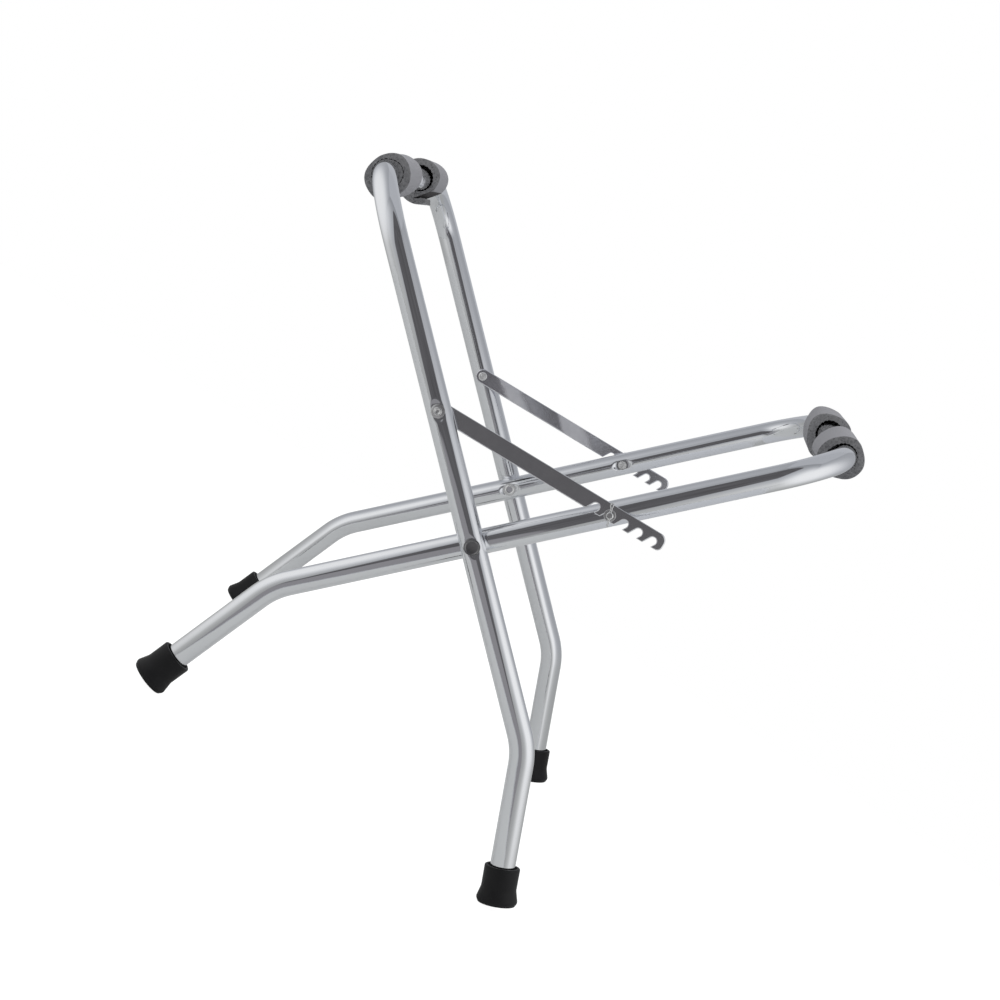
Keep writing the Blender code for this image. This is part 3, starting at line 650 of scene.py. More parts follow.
@dataclass
class TubeFrame:
    """One bent tube frame with its feet and foam."""

    layout: Layout
    body: str
    lean: Lean
    dimple_face: int
    tube_radius: float = 0.0111
    wall: float = 0.0012
    corner_radius: float = 0.062
    leg_reach: float = 0.182
    leg_bend: float = 24.0
    leg_bend_radius: float = 0.070
    dimple_depth: float = 0.0012
    dimple_flat: float = 0.0062
    dimple_outer: float = 0.0118
    around: int = 72

    def __post_init__(self) -> None:
        """Works out the frame's directions and widths from its solids."""
        angle = self.lean.value * self.layout.arm_angle
        self.up = np.array([math.sin(angle), 0.0, math.cos(angle)])
        self.across = np.array([math.cos(angle), 0.0, -math.sin(angle)])
        self.half_width = self.layout.span(f"{self.body}_tube")[1][1] - self.tube_radius
        low = self.layout.span(f"near_{self.body}_ring")[0]
        high = self.layout.span(f"far_{self.body}_ring")[1]
        self.bar_centre = (low + high) / 2
        self.straight = self.half_width - self.corner_radius
        self.reach = float(np.linalg.norm((self.bar_centre - self.layout.pivot)[[0, 2]]))
        sole = self.layout.mounts[f"near_{self.body.split('_')[0]}_sole"]
        self.foot_axis = np.array(sole["axis"])

    def leg_point(self, side: Side, height: float = 0.0) -> Points:
        """A point on a leg's axis, at a distance from the cross pivot."""
        return self.layout.pivot + np.array([0.0, side.value * self.half_width, 0.0]) + self.up * height

    def build(self) -> None:
        """Builds every piece of the frame."""
        self.build_tube()
        for side in Side:
            RubberFoot(self, side).build()
            FoamSleeve(self, side).build()
            FoamRing(self, side).build()

    def stations(self) -> tuple[Points, Points, Points]:
        """Centreline of the near half, from the foot to the middle of the crossbar.

        Straight runs and circular bends follow each other. In a bend, the tangent turns at a
        steady rate in the bend's plane, and the cross direction in that plane turns with it.

        Returns:
            Places, and the two cross directions of each place, as arrays of stations by 3.
        """
        side = np.array([0.0, 1.0, 0.0])
        base = self.leg_point(Side.NEAR)
        bend = math.radians(self.leg_bend)
        trim = self.leg_bend_radius * math.tan(bend / 2)
        corner = base - self.up * self.leg_reach
        sole = np.array(self.layout.mounts[f"near_{self.body.split('_')[0]}_sole"]["pos_m"])
        end = sole - self.foot_axis * 0.0084
        places, firsts, seconds = [], [], []

        def add(points: Points, first: Points, second: Points) -> None:
            places.append(points)
            firsts.append(np.broadcast_to(first, points.shape))
            seconds.append(np.broadcast_to(second, points.shape))

        foot_side = np.cross(side, -self.foot_axis)
        start = corner + self.foot_axis * trim
        add(end + np.linspace(0.0, 1.0, 12)[:-1, None] * (start - end), foot_side, side)
        share = np.linspace(0.0, 1.0, 15)[:, None]
        turn = math.acos(float(np.clip(-self.foot_axis @ self.up, -1.0, 1.0)))
        leg_side = np.cross(side, self.up)
        blend_a = np.sin((1 - share) * turn) / math.sin(turn)
        blend_b = np.sin(share * turn) / math.sin(turn)
        radial = blend_a * foot_side + blend_b * leg_side
        towards = math.copysign(1.0, float((-self.foot_axis) @ leg_side))
        centre = start + foot_side * (-towards) * self.leg_bend_radius
        add(centre - radial * (-towards) * self.leg_bend_radius, radial, side)
        heights = [np.linspace(-self.leg_reach + trim, -0.016, 24)[1:]]
        dense = np.linspace(-0.015, 0.015, 31)
        heights.append(dense)
        heights.append(np.linspace(0.016, self.layout.hole_reach - 0.016, 16))
        heights.append(self.layout.hole_reach + dense)
        arm_end = self.reach - self.corner_radius
        heights.append(np.linspace(self.layout.hole_reach + 0.016, arm_end, 18)[:-1])
        height = np.concatenate(heights)[:, None]
        add(base + self.up * height, leg_side, side)
        quarter = np.linspace(0.0, math.pi / 2, 37)[:, None]
        hub = base + self.up * arm_end + side * self.corner_radius
        outwards = -side * np.cos(quarter) + self.up * np.sin(quarter)
        add(hub + outwards * self.corner_radius, leg_side, -outwards)
        bar = np.linspace(-self.straight, 0.0, 14)[1:, None]
        add(self.layout.pivot + self.up * self.reach + side * bar, leg_side, -self.up)
        return np.vstack(places), np.vstack(firsts), np.vstack(seconds)

    def press(self, skin: Points) -> Points:
        """Presses the flats that the fasteners sit in.

        Near a hole, the skin is held below a limit that drops by the dimple's depth, with a
        smooth step between the flat's radius and the dimple's outer radius.

        Args:
            skin: Near half of the tube's skin, stations by ring points by 3.

        Returns:
            The pressed skin.
        """
        rel = skin - self.leg_point(Side.NEAR)
        height = rel @ self.up
        sideways = rel @ np.cross(np.array([0.0, 1.0, 0.0]), self.up)
        face = Side.NEAR.value * self.dimple_face
        reach = rel[..., 1] * face
        nearest = np.minimum(np.hypot(sideways, height), np.hypot(sideways, height - self.layout.hole_reach))
        fade = np.clip((self.dimple_outer - nearest) / (self.dimple_outer - self.dimple_flat), 0.0, 1.0)
        limit = self.tube_radius - self.dimple_depth * fade * fade * (3 - 2 * fade)
        pressed = skin.copy()
        pressed[..., 1] -= face * np.where(fade > 0.0, np.maximum(reach - limit, 0.0), 0.0)
        return pressed

    def build_tube(self) -> None:
        """Bent tube: a ring of points carried along the centreline, mirrored to the far side."""
        places, firsts, seconds = self.stations()
        angle = np.linspace(0.0, 2 * math.pi, self.around, endpoint=False)
        ring = np.cos(angle)[None, :, None] * firsts[:, None] + np.sin(angle)[None, :, None] * seconds[:, None]
        near = self.press(places[:, None] + ring * self.tube_radius)
        far = near[::-1][1:] * np.array([1.0, -1.0, 1.0])
        skin = np.vstack([near, far])
        maker = MeshMaker()
        maker.grid(skin)
        for row, end, flip in ((0, places[0], True), (-1, places[0] * np.array([1.0, -1.0, 1.0]), False)):
            lip = end + (skin[row] - end) * (1 - self.wall / self.tube_radius)
            maker.grid(np.stack([skin[row], lip]) if flip else np.stack([lip, skin[row]]))
            maker.fan(lip, end, flip=flip)
        tube = maker.finish(f"{self.body}_tube_skin", [CHROME])
        keep(tube, self.body, "chromed_tube", f"{self.body}_tube")


@dataclass
class RubberFoot:
    """A moulded foot over the end of a leg."""

    frame: TubeFrame
    side: Side
    height: float = 0.0335
    body_radius: float = 0.0157
    flare_radius: float = 0.0182
    sole_radius: float = 0.0165
    floor: float = 0.0080
    gap: float = 0.0003
    mouth_relief: float = 0.0015

    def build(self) -> None:
        """Turned foot, waisted above a flared sole, with shallow rings in the sole."""
        name = f"{self.side.name.lower()}_{self.frame.body}_foot"
        mount = self.frame.layout.mounts[f"{self.side.name.lower()}_{self.frame.body.split('_')[0]}_sole"]
        basis = Basis.about(np.array(mount["pos_m"]), -np.array(mount["axis"]))
        bore = self.frame.tube_radius + self.gap
        mouth = bore + self.mouth_relief
        top = self.height
        profile = rounded(
            [
                (0.0, self.floor, 0.0),
                (bore, self.floor, 0.0),
                (bore, top - 0.0035, 0.0008),
                (mouth, top - 0.0012, 0.0006),
                (mouth, top, 0.0003),
                (self.body_radius, top, 0.0012),
                (self.body_radius - 0.0001, top * 0.42, 0.012),
                (self.flare_radius, 0.0042, 0.0022),
                (self.flare_radius - 0.0002, 0.0028, 0.0008),
                (self.sole_radius, 0.0, 0.0006),
                (0.0128, 0.0, 0.0003),
                (0.0124, 0.0006, 0.0003),
                (0.0106, 0.0006, 0.0003),
                (0.0102, 0.0, 0.0003),
                (0.0066, 0.0, 0.0003),
                (0.0062, 0.0006, 0.0003),
                (0.0044, 0.0006, 0.0003),
                (0.0040, 0.0, 0.0003),
                (0.0, 0.0, 0.0),
            ]
        )
        maker = MeshMaker()
        turned(maker, profile, basis, 96)
        foot = maker.finish(f"{name}_rubber", [BLACK_RUBBER])
        keep(foot, self.frame.body, "foot_rubber", name)


@dataclass(frozen=True)
class Outline:
    """A rim or a bore, as its radius in millimetres at some angles.

    Angles are in degrees about the bar, from the frame's cross direction towards its upper end.
    Between the given angles the radius is a straight blend, averaged over a soft width.
    """

    points: tuple
    closed: bool = True
    soft: float = 9.0

    def radius(self, angle: Points) -> Points:
        """Radius in metres at each angle in degrees."""
        at, reach = np.array(self.points, float).T
        spread = angle[..., None] + np.linspace(-self.soft, self.soft, 7)
        return np.interp(spread, at, reach, period=360.0 if self.closed else None).mean(axis=-1) / 1000


@dataclass(frozen=True)
class Wrap:
    """How one foam ring lies round its bar, from its slit at an angle once round.

    Pairs give the end by the corner first, then the inner end. A ring with a spring is wrapped
    further than once: its start is cut off along a chord, and its end stands off from that chord.
    """

    start: float
    rims: tuple
    bores: tuple
    overlap: tuple = (0.0, 0.0)
    chord: tuple = (0.0, 0.0)
    chord_angle: float = -84.0
    spring: float = 0.0
    # Skin faces before this angle take the near-black slit foam: painted shade in the slit.
    shaded_to: float = -180.0
    sleeve_inset: float = 0.0


SNUG = Outline(((0, 13.3), (180, 13.3)))
WRAPS = {
    (Lean.OUTER, Side.NEAR): Wrap(
        -112.0,
        (
            Outline(
                (
                    (-179, 20.5), (-151, 21.8), (-129, 24.0), (-98, 22.5), (-68, 20.8), (-47, 21.7), (-16, 21.2),
                    (28, 21.0), (40, 20.6), (57, 19.0), (79, 17.1), (114, 16.0), (134, 16.6), (152, 18.2), (168, 19.7),
                )
            ),
            Outline(
                (
                    (-180, 19.5), (-135, 20.0), (-92, 19.4), (-64, 19.4), (-47, 20.2), (-29, 20.8), (-14, 21.3),
                    (4, 21.4), (18, 20.8), (38, 19.9), (60, 19.7), (90, 19.4), (135, 18.5),
                )
            ),
        ),
        (Outline(((-120, 14.0), (-42, 13.8), (-12, 14.6), (20, 14.1), (56, 12.7), (135, 12.5), (174, 12.9))), SNUG),
    ),
    (Lean.INNER, Side.NEAR): Wrap(
        -98.0,
        (
            Outline(
                (
                    (-172, 18.8), (-156, 19.9), (-142, 21.0), (-127, 22.6), (-105, 24.5), (-70, 22.5), (-31, 19.5),
                    (5, 20.2), (47, 19.9), (63, 19.0), (79, 18.1), (97, 17.7), (117, 18.8), (136, 19.1), (169, 18.5),
                )
            ),
            Outline(
                (
                    (-179, 19.0), (-161, 18.9), (-142, 19.7), (-124, 21.3), (-100, 23.4), (-60, 22.0), (-30, 20.0),
                    (60, 19.5), (100, 19.3), (129, 19.6), (151, 19.9),
                )
            ),
        ),
        (
            Outline(
                (
                    (-178, 11.7), (-161, 12.0), (-140, 13.2), (-119, 15.5), (-90, 14.6), (-40, 12.1), (20, 11.7),
                    (63, 11.5), (85, 11.5), (119, 11.6),
                )
            ),
            SNUG,
        ),
        sleeve_inset=0.012,
    ),
    (Lean.OUTER, Side.FAR): Wrap(
        -124.0,
        (
            Outline(
                (
                    (-124, 22.0), (-59, 17.2), (-43, 17.8), (-11, 18.8), (42, 18.7), (56, 19.1), (90, 19.8),
                    (180, 22.0), (242, 24.5), (253, 26.0),
                ),
                False,
            ),
            Outline(
                (
                    (-124, 22.0), (-55, 17.3), (-39, 17.7), (-22, 18.7), (-7, 20.0), (13, 20.8), (61, 20.3),
                    (92, 20.9), (180, 23.0), (220, 24.9), (245, 25.3), (256, 24.9), (264, 23.8),
                ),
                False,
            ),
        ),
        (
            SNUG,
            Outline(((-90, 11.3), (-40, 11.7), (14, 12.8), (55, 13.3), (75, 13.6), (100, 14.0), (135, 13.8), (180, 12.4))),
        ),
        overlap=(20.0, 32.0),
        chord=(0.0165, 0.0151),
        spring=0.0030,
        # Skin faces before -63 degrees take painted shade.
        shaded_to=-63.0,
    ),
    (Lean.INNER, Side.FAR): Wrap(
        -20.0,
        (
            Outline(
                (
                    (-174, 20.7), (-159, 19.7), (-139, 18.2), (-110, 18.8), (-90, 20.0), (-70, 22.5), (-50, 25.2),
                    (-35, 25.0), (0, 21.5), (45, 21.0), (91, 22.3), (111, 21.8), (127, 20.4), (143, 19.6), (159, 19.8),
                )
            ),
            Outline(
                (
                    (-171, 21.5), (-159, 21.9), (-145, 21.6), (-125, 20.4), (-101, 20.6), (-85, 21.9), (-67, 24.0),
                    (-55, 26.2), (-40, 26.0), (-10, 23.0), (20, 21.5), (60, 22.0), (87, 23.0), (114, 21.5), (130, 20.0),
                    (146, 19.4), (161, 19.9), (176, 20.5),
                )
            ),
        ),
        (
            SNUG,
            Outline(((-175, 12.5), (-152, 11.9), (-126, 11.6), (-101, 12.0), (0, 12.6), (90, 14.2), (118, 13.8), (167, 13.1))),
        ),
    ),
}


def smooth(value: Points, first: float, last: float) -> Points:
    """0 before first and 1 after last, by 3 x squared less 2 x cubed between them."""
    share = np.clip((value - first) / (last - first), 0.0, 1.0)
    return share * share * (3 - 2 * share)


@dataclass
class FoamSleeve:
    """A short thin foam sleeve between the bar and a foam ring."""

    frame: TubeFrame
    side: Side
    around: int = 180
    gap: float = 0.00005
    clearance: float = 0.00008

    def build(self) -> None:
        """Short tube of foam whose skin follows the bore of its ring."""
        name = f"{self.side.name.lower()}_{self.frame.body}_sleeve"
        low, high = self.frame.layout.span(name)
        wrap = WRAPS[(self.frame.lean, self.side)]
        bore = np.full(self.around, self.frame.tube_radius + self.gap)
        angle = np.linspace(0.0, 360.0, self.around, endpoint=False)
        skin = np.maximum(wrap.bores[0].radius(angle) - self.clearance, bore + 0.0004)
        ends = [low[1], high[1]]
        ends[0 if self.side is Side.NEAR else 1] -= self.side.value * wrap.sleeve_inset
        along = np.linspace(ends[0], ends[1], 24)
        rows = np.vstack([bore, np.broadcast_to(skin, (len(along), self.around)), bore])
        heights = np.concatenate([along[:1], along, along[-1:]])[:, None] + 0 * rows
        turn = np.radians(angle)
        centre = np.array([self.frame.bar_centre[0], 0.0, self.frame.bar_centre[2]])
        basis = Basis(centre, self.frame.across, self.frame.up, np.array([0.0, 1.0, 0.0]))
        maker = MeshMaker()
        maker.grid(basis.at(np.stack([rows * np.cos(turn), rows * np.sin(turn), heights], axis=-1)), wrap_rows=True)
        sleeve = maker.finish(f"{name}_foam", [CUT_FOAM])
        keep(sleeve, self.frame.body, "ring_foam", name)


@dataclass
class FoamRing:
    """A thick foam ring, slit along its length and sprung open round its sleeve."""

    frame: TubeFrame
    side: Side
    around: int = 360
    teeth: int = 21
    tooth: float = 0.0006
    edge: float = 0.0009
    opening: float = 1.4
    bore_change: float = 0.72
    seed: int = 4

    def section(self, wall: float, half: float) -> tuple[Points, Points]:
        """Cross section of the wall, as shares of the wall and places along the bar.

        Args:
            wall: The foam's thickness.
            half: Half of the ring's length.

        Returns:
            Points by 2 and the material slot after each point: 0 for skin, 1 for a cut face.
        """
        line = rounded(
            [
                (0.0, -half, 0.0),
                (wall, -half, self.edge),
                (wall, half, self.edge),
                (0.0, half, 0.0),
            ],
            5,
        )
        line = np.vstack([line, line[:1]])
        parts = [line[:1]]
        for first, last in zip(line[:-1], line[1:]):
            count = max(1, round(float(np.linalg.norm(last - first)) / 0.0035))
            parts.append(first + (last - first) * np.linspace(0.0, 1.0, count + 1)[1:, None])
        fine = np.vstack(parts)
        steps = np.diff(fine, axis=0)
        cut = (np.abs(steps[:, 0]) > np.abs(steps[:, 1])).astype(int)
        return fine[:-1] / np.array([wall, 1.0]), cut

    def shell(self, wrap: Wrap, angle: Points, inwards: Points) -> tuple[Points, Points]:
        """Radii of the bore and the rim, blended between the ring's two ends.

        A wrapped ring's start ends at its chord, whose radius is its distance from the axis over
        the cosine of the angle from its middle. The end of the wrap rises over it and springs off.

        Args:
            wrap: The ring's outlines.
            angle: Angles in degrees, from the slit on.
            inwards: 0 at the end by the corner and 1 at the inner end.

        Returns:
            Radii of the bore and of the rim.
        """
        deep = smooth(inwards, self.bore_change, 1.0)
        bore = (1 - deep) * wrap.bores[0].radius(angle) + deep * wrap.bores[1].radius(angle)
        rim = (1 - inwards) * wrap.rims[0].radius(angle) + inwards * wrap.rims[1].radius(angle)
        if wrap.spring:
            reach = wrap.chord[0] + (wrap.chord[1] - wrap.chord[0]) * inwards
            ledge = reach / np.cos(np.radians(angle - wrap.chord_angle)).clip(0.3)
            rim = np.where(angle < wrap.start + 180.0, np.minimum(rim, ledge), rim)
            past = (angle - wrap.start - 360.0) / max(wrap.overlap)
            stand_off = 0.0003 + wrap.spring * past.clip(0.0, 1.0)
            bore = bore + (ledge + stand_off - bore) * smooth(past, -0.05, 0.0)
        return bore, rim

    def build(self) -> None:
        """Wall carried round the bar from its slit, with teeth along its bore."""
        name = f"{self.side.name.lower()}_{self.frame.body}_ring"
        low, high = self.frame.layout.span(name)
        wrap = WRAPS[(self.frame.lean, self.side)]
        half = (high[1] - low[1]) / 2
        section, cut = self.section(0.007, half)
        share, along = section[:, :1], section[:, 1:]
        inwards = (1 - self.side.value * along / half) / 2
        turn = np.linspace(0.0, 1.0, self.around)[None]
        opening = 0.1 + (0.0 if wrap.spring else self.opening) * share
        whole = 360.0 + wrap.overlap[0] + (wrap.overlap[1] - wrap.overlap[0]) * inwards
        degrees = wrap.start + opening + (whole - 2 * opening) * turn
        angle = np.radians(degrees)
        bore, rim = self.shell(wrap, degrees, inwards)
        random = np.random.default_rng(self.seed + 10 + self.side.value + 5 * self.frame.lean.value)
        phases = random.uniform(0.0, 2 * math.pi, 5)
        ragged = sum(np.sin(k * angle + p) for k, p in zip((5, 8, 13, 34, 47), phases)) / 5
        inner = bore + self.tooth * (np.abs(np.sin(self.teeth / 2 * angle)) + 0.8 * np.abs(ragged))
        waves = sum(np.sin(k * angle + p + 40 * along) for k, p in zip((2, 3, 4), phases)) / 3
        radius = inner + (rim + 0.0001 * waves - inner) * share
        bulge = 0.0006 * np.sin(math.pi * share) * np.sin(7 * angle + phases[0]) * np.sign(along)
        height = along + np.where(np.abs(along) > half - self.edge, 0.3 * bulge - 0.0002 * np.sign(along), 0.0)
        local = np.stack([radius * np.cos(angle), radius * np.sin(angle), height + 0 * radius], axis=-1)
        basis = Basis((low + high) / 2, self.frame.across, self.frame.up, np.array([0.0, 1.0, 0.0]))
        points = basis.at(local)
        maker = MeshMaker()
        # Slot 2 is the near-black slit foam: painted shade on the skin before shaded_to.
        shaded = (cut[:, None] == 0) & (degrees[:, :-1] < wrap.shaded_to)
        maker.grid(points, wrap_rows=True, wrap_columns=False, slot=np.where(shaded, 2, cut[:, None]))
        maker.plate(points[:, 0], slot=1)
        maker.plate(points[::-1, -1], slot=1)
        ring = maker.finish(f"{name}_foam", [RING_FOAM, CUT_FOAM, SLIT_PAINTED_SHADE])
        keep(ring, self.frame.body, "ring_foam", name)


@dataclass
class Hardware:
    """Rivets, washers, pins and split pins on one side."""

    layout: Layout
    side: Side
    head_spread: float = 1.10

    def name(self, piece: str) -> str:
        """A solid's name on this side."""
        return f"{self.side.name.lower()}_{piece}"

    def turned_solid(
        self, piece: str, profile: Points, body: str, finish: Finish, dull: tuple = (0.0, 0.0)
    ) -> None:
        """Turns a profile in place of a solid.

        Args:
            piece: The solid's name without its side.
            profile: (radius, distance from the mid-plane) points.
            body: Body that it rides on.
            finish: Its finish.
            dull: Radii between which it takes the dark plate: painted shade in a bore, and round a head's rim.
        """
        low, high = self.layout.span(self.name(piece))
        centre = (low + high) / 2
        centre[1] = 0.0
        basis = Basis.about(centre, np.array([0.0, self.side.value, 0.0]))
        maker = MeshMaker()
        turned(maker, profile, basis, 64, dull)
        made = maker.finish(f"{self.name(piece)}_plated", [finish, DARK_ZINC_AND_SHADE])
        keep(made, body, "fastener_zinc", self.name(piece))

    def reach(self, piece: str) -> tuple[float, float, float]:
        """A turned solid's radius, and its least and greatest distance from the mid-plane."""
        low, high = self.layout.span(self.name(piece))
        ends = sorted(abs(v) for v in (low[1], high[1]))
        return (high[2] - low[2]) / 2, ends[0], ends[1]

    def washer(self, piece: str, body: str, bore: float, finish: Finish, fall: float = 0.0) -> None:
        """A pressed washer with rolled edges.

        Args:
            piece: The solid's name without its side.
            body: Body that it rides on.
            bore: Radius of its hole.
            finish: Its finish.
            fall: How far its outer face falls from the hole to the rim, as a share of its thickness.
        """
        radius, inner, outer = self.reach(piece)
        roll = (outer - inner) * 0.3
        profile = rounded(
            [
                (bore, (inner + outer) / 2, 0.0),
                (bore, outer, roll),
                (radius, outer - fall * (outer - inner), roll * (1 - fall)),
                (radius, inner, roll * (1 - fall)),
                (bore, inner, roll),
                (bore, (inner + outer) / 2, 0.0),
            ]
        )[:-1]
        self.turned_solid(piece, profile, body, finish)

    def build(self) -> None:
        """Builds the side's fasteners."""
        self.build_cross_pivot()
        self.build_stay_rivet()
        self.build_hook_pin()

    def build_cross_pivot(self) -> None:
        """Tubular rivet with a dished head outside and a rolled end inside."""
        head, inner, outer = self.reach("pivot_rivet")
        head *= self.head_spread
        shank, roll, bore = 0.0040, 0.0048, 0.0031
        profile = rounded(
            [
                (0.0, outer - 0.0014, 0.0),
                (head * 0.30, outer - 0.0012, 0.002),
                (head * 0.74, outer - 0.0009, 0.002),
                (head * 0.86, outer, 0.0004),
                (head * 0.95, outer, 0.0004),
                (head, outer - 0.0006, 0.0004),
                (head * 0.95, outer - 0.0015, 0.0002),
                (shank, outer - 0.0015, 0.0),
                (shank, inner + 0.0012, 0.0),
                (roll, inner + 0.0012, 0.0004),
                (roll, inner + 0.0004, 0.0005),
                ((roll + bore) / 2, inner, 0.0006),
                (bore, inner + 0.0006, 0.0005),
                (bore, inner + 0.008, 0.0),
                (0.0, inner + 0.0084, 0.0),
            ]
        )
        # The near rivet is dark plate all over. On the far one the radii inside the bore take it as painted shade in
        # the bore.
        finish = DARK_ZINC_AND_SHADE if self.side is Side.NEAR else ZINC
        self.turned_solid("pivot_rivet", profile, "outer_frame", finish, (0.0, bore * 1.1))
        self.washer("pivot_spacer", "outer_frame", shank + 0.0003, ZINC)
        self.washer("pivot_washer", "outer_frame", shank + 0.0003, ZINC, 0.5)

    def build_stay_rivet(self) -> None:
        """Tubular rivet with its rolled end over a washer outside and a flat head on the stay."""
        head, inner, outer = self.reach("stay_rivet")
        shank, roll, bore = 0.0030, 0.0037, 0.0020
        seat = outer - 0.0012
        profile = rounded(
            [
                (0.0, outer - 0.0013, 0.0),
                (bore * 0.5, outer - 0.0015, 0.0008),
                (bore, outer - 0.0011, 0.0004),
                (bore * 1.05, outer - 0.0006, 0.0003),
                ((roll + bore) / 2, outer, 0.0006),
                (roll, outer - 0.0004, 0.0005),
                (roll, seat, 0.0003),
                (shank, seat, 0.0),
                (shank, inner + 0.0013, 0.0),
                (head, inner + 0.0013, 0.0003),
                (head, inner + 0.0006, 0.0004),
                (head * 0.8, inner, 0.0005),
                (head * 0.62, inner, 0.0002),
                (head * 0.56, inner + 0.0005, 0.0002),
                (head * 0.40, inner + 0.0005, 0.0002),
                (head * 0.32, inner + 0.0001, 0.0002),
                (0.0, inner + 0.0002, 0.0),
            ]
        )
        # A dark ring of plate round the head's rim is painted shade.
        self.turned_solid("stay_rivet", profile, "outer_frame", ZINC, (head * 0.9, head * 1.01))
        self.washer("stay_rivet_washer", "outer_frame", shank + 0.0003, ZINC, 0.85)

    def build_hook_pin(self) -> None:
        """Headed pin with its washer and split pin."""
        head, inner, outer = self.reach("hook_pin")
        shank, recess = 0.003175, 0.0021
        profile = rounded(
            [
                (0.0, outer, 0.0),
                (shank - 0.0007, outer, 0.0003),
                (shank, outer - 0.0007, 0.0004),
                (shank, inner + 0.0016, 0.0),
                (head, inner + 0.0016, 0.0003),
                (head, inner + 0.0007, 0.0005),
                (head * 0.84, inner, 0.0005),
                (head * 0.70, inner, 0.0002),
                (head * 0.62, inner + 0.0006, 0.0002),
                (recess, inner + 0.0006, 0.0002),
                (recess * 0.8, inner + 0.0001, 0.0002),
                (0.0, inner + 0.0002, 0.0),
            ]
        )
        # A dark ring of plate round the head's rim is painted shade.
        self.turned_solid("hook_pin", profile, "inner_frame", ZINC, (head * 0.86, head * 1.01))
        self.washer("hook_pin_washer", "inner_frame", shank + 0.0003, ZINC)
        SplitPin(self.layout, self.side).build()


@dataclass
class SplitPin:
    """The bent wire pin through a hook pin's end."""

    layout: Layout
    side: Side
    wire: float = 0.00045
    spacing: float = 0.0012
    length: float = 0.0104
    eye_reach: float = 0.0090
    eye_width: float = 0.0026
    eye_length: float = 0.0040
    around: int = 16

    def build(self) -> None:
        """Wire carried along two legs and an oval eye: a circle across the path's own plane."""
        name = f"{self.side.name.lower()}_split_pin"
        low, high = self.layout.span(name)
        pin_low, pin_high = self.layout.span(f"{self.side.name.lower()}_hook_pin")
        centre = (pin_low + pin_high) / 2
        centre[1] = (low[1] + high[1]) / 2
        middle = (low + high) / 2
        lean = middle - centre
        length = math.hypot(lean[0], lean[2])
        up = np.array([lean[0], 0.0, lean[2]]) / length
        if up[2] < 0:
            up = -up
        across = np.cross(np.array([0.0, 1.0, 0.0]), up)
        turn = np.radians(np.linspace(-60.0, 240.0, 33))
        eye = np.stack(
            [self.eye_width / 2 * np.cos(turn), self.eye_reach + self.eye_length / 2 * np.sin(turn)], axis=-1
        )
        first = np.stack([np.full(9, self.spacing / 2), np.linspace(-self.length, 0.006, 9)], axis=-1)
        last = np.stack([np.full(9, -self.spacing / 2), np.linspace(0.006, -self.length * 0.93, 9)], axis=-1)
        path = np.vstack([first, eye, last])
        tangent = np.gradient(path, axis=0)
        tangent /= np.linalg.norm(tangent, axis=1, keepdims=True)
        places = centre + path[:, :1] * across + path[:, 1:] * up
        side_way = tangent[:, 1:] * across - tangent[:, :1] * up
        depth = np.array([0.0, 1.0, 0.0])
        angle = np.linspace(0.0, 2 * math.pi, self.around, endpoint=False)
        ring = np.cos(angle)[None, :, None] * side_way[:, None] + np.sin(angle)[None, :, None] * depth
        skin = places[:, None] + ring * self.wire
        maker = MeshMaker()
        maker.grid(skin)
        maker.fan(skin[0], places[0], flip=True)
        maker.fan(skin[-1], places[-1])
        made = maker.finish(f"{name}_wire", [ZINC])
        keep(made, "inner_frame", "fastener_zinc", name)


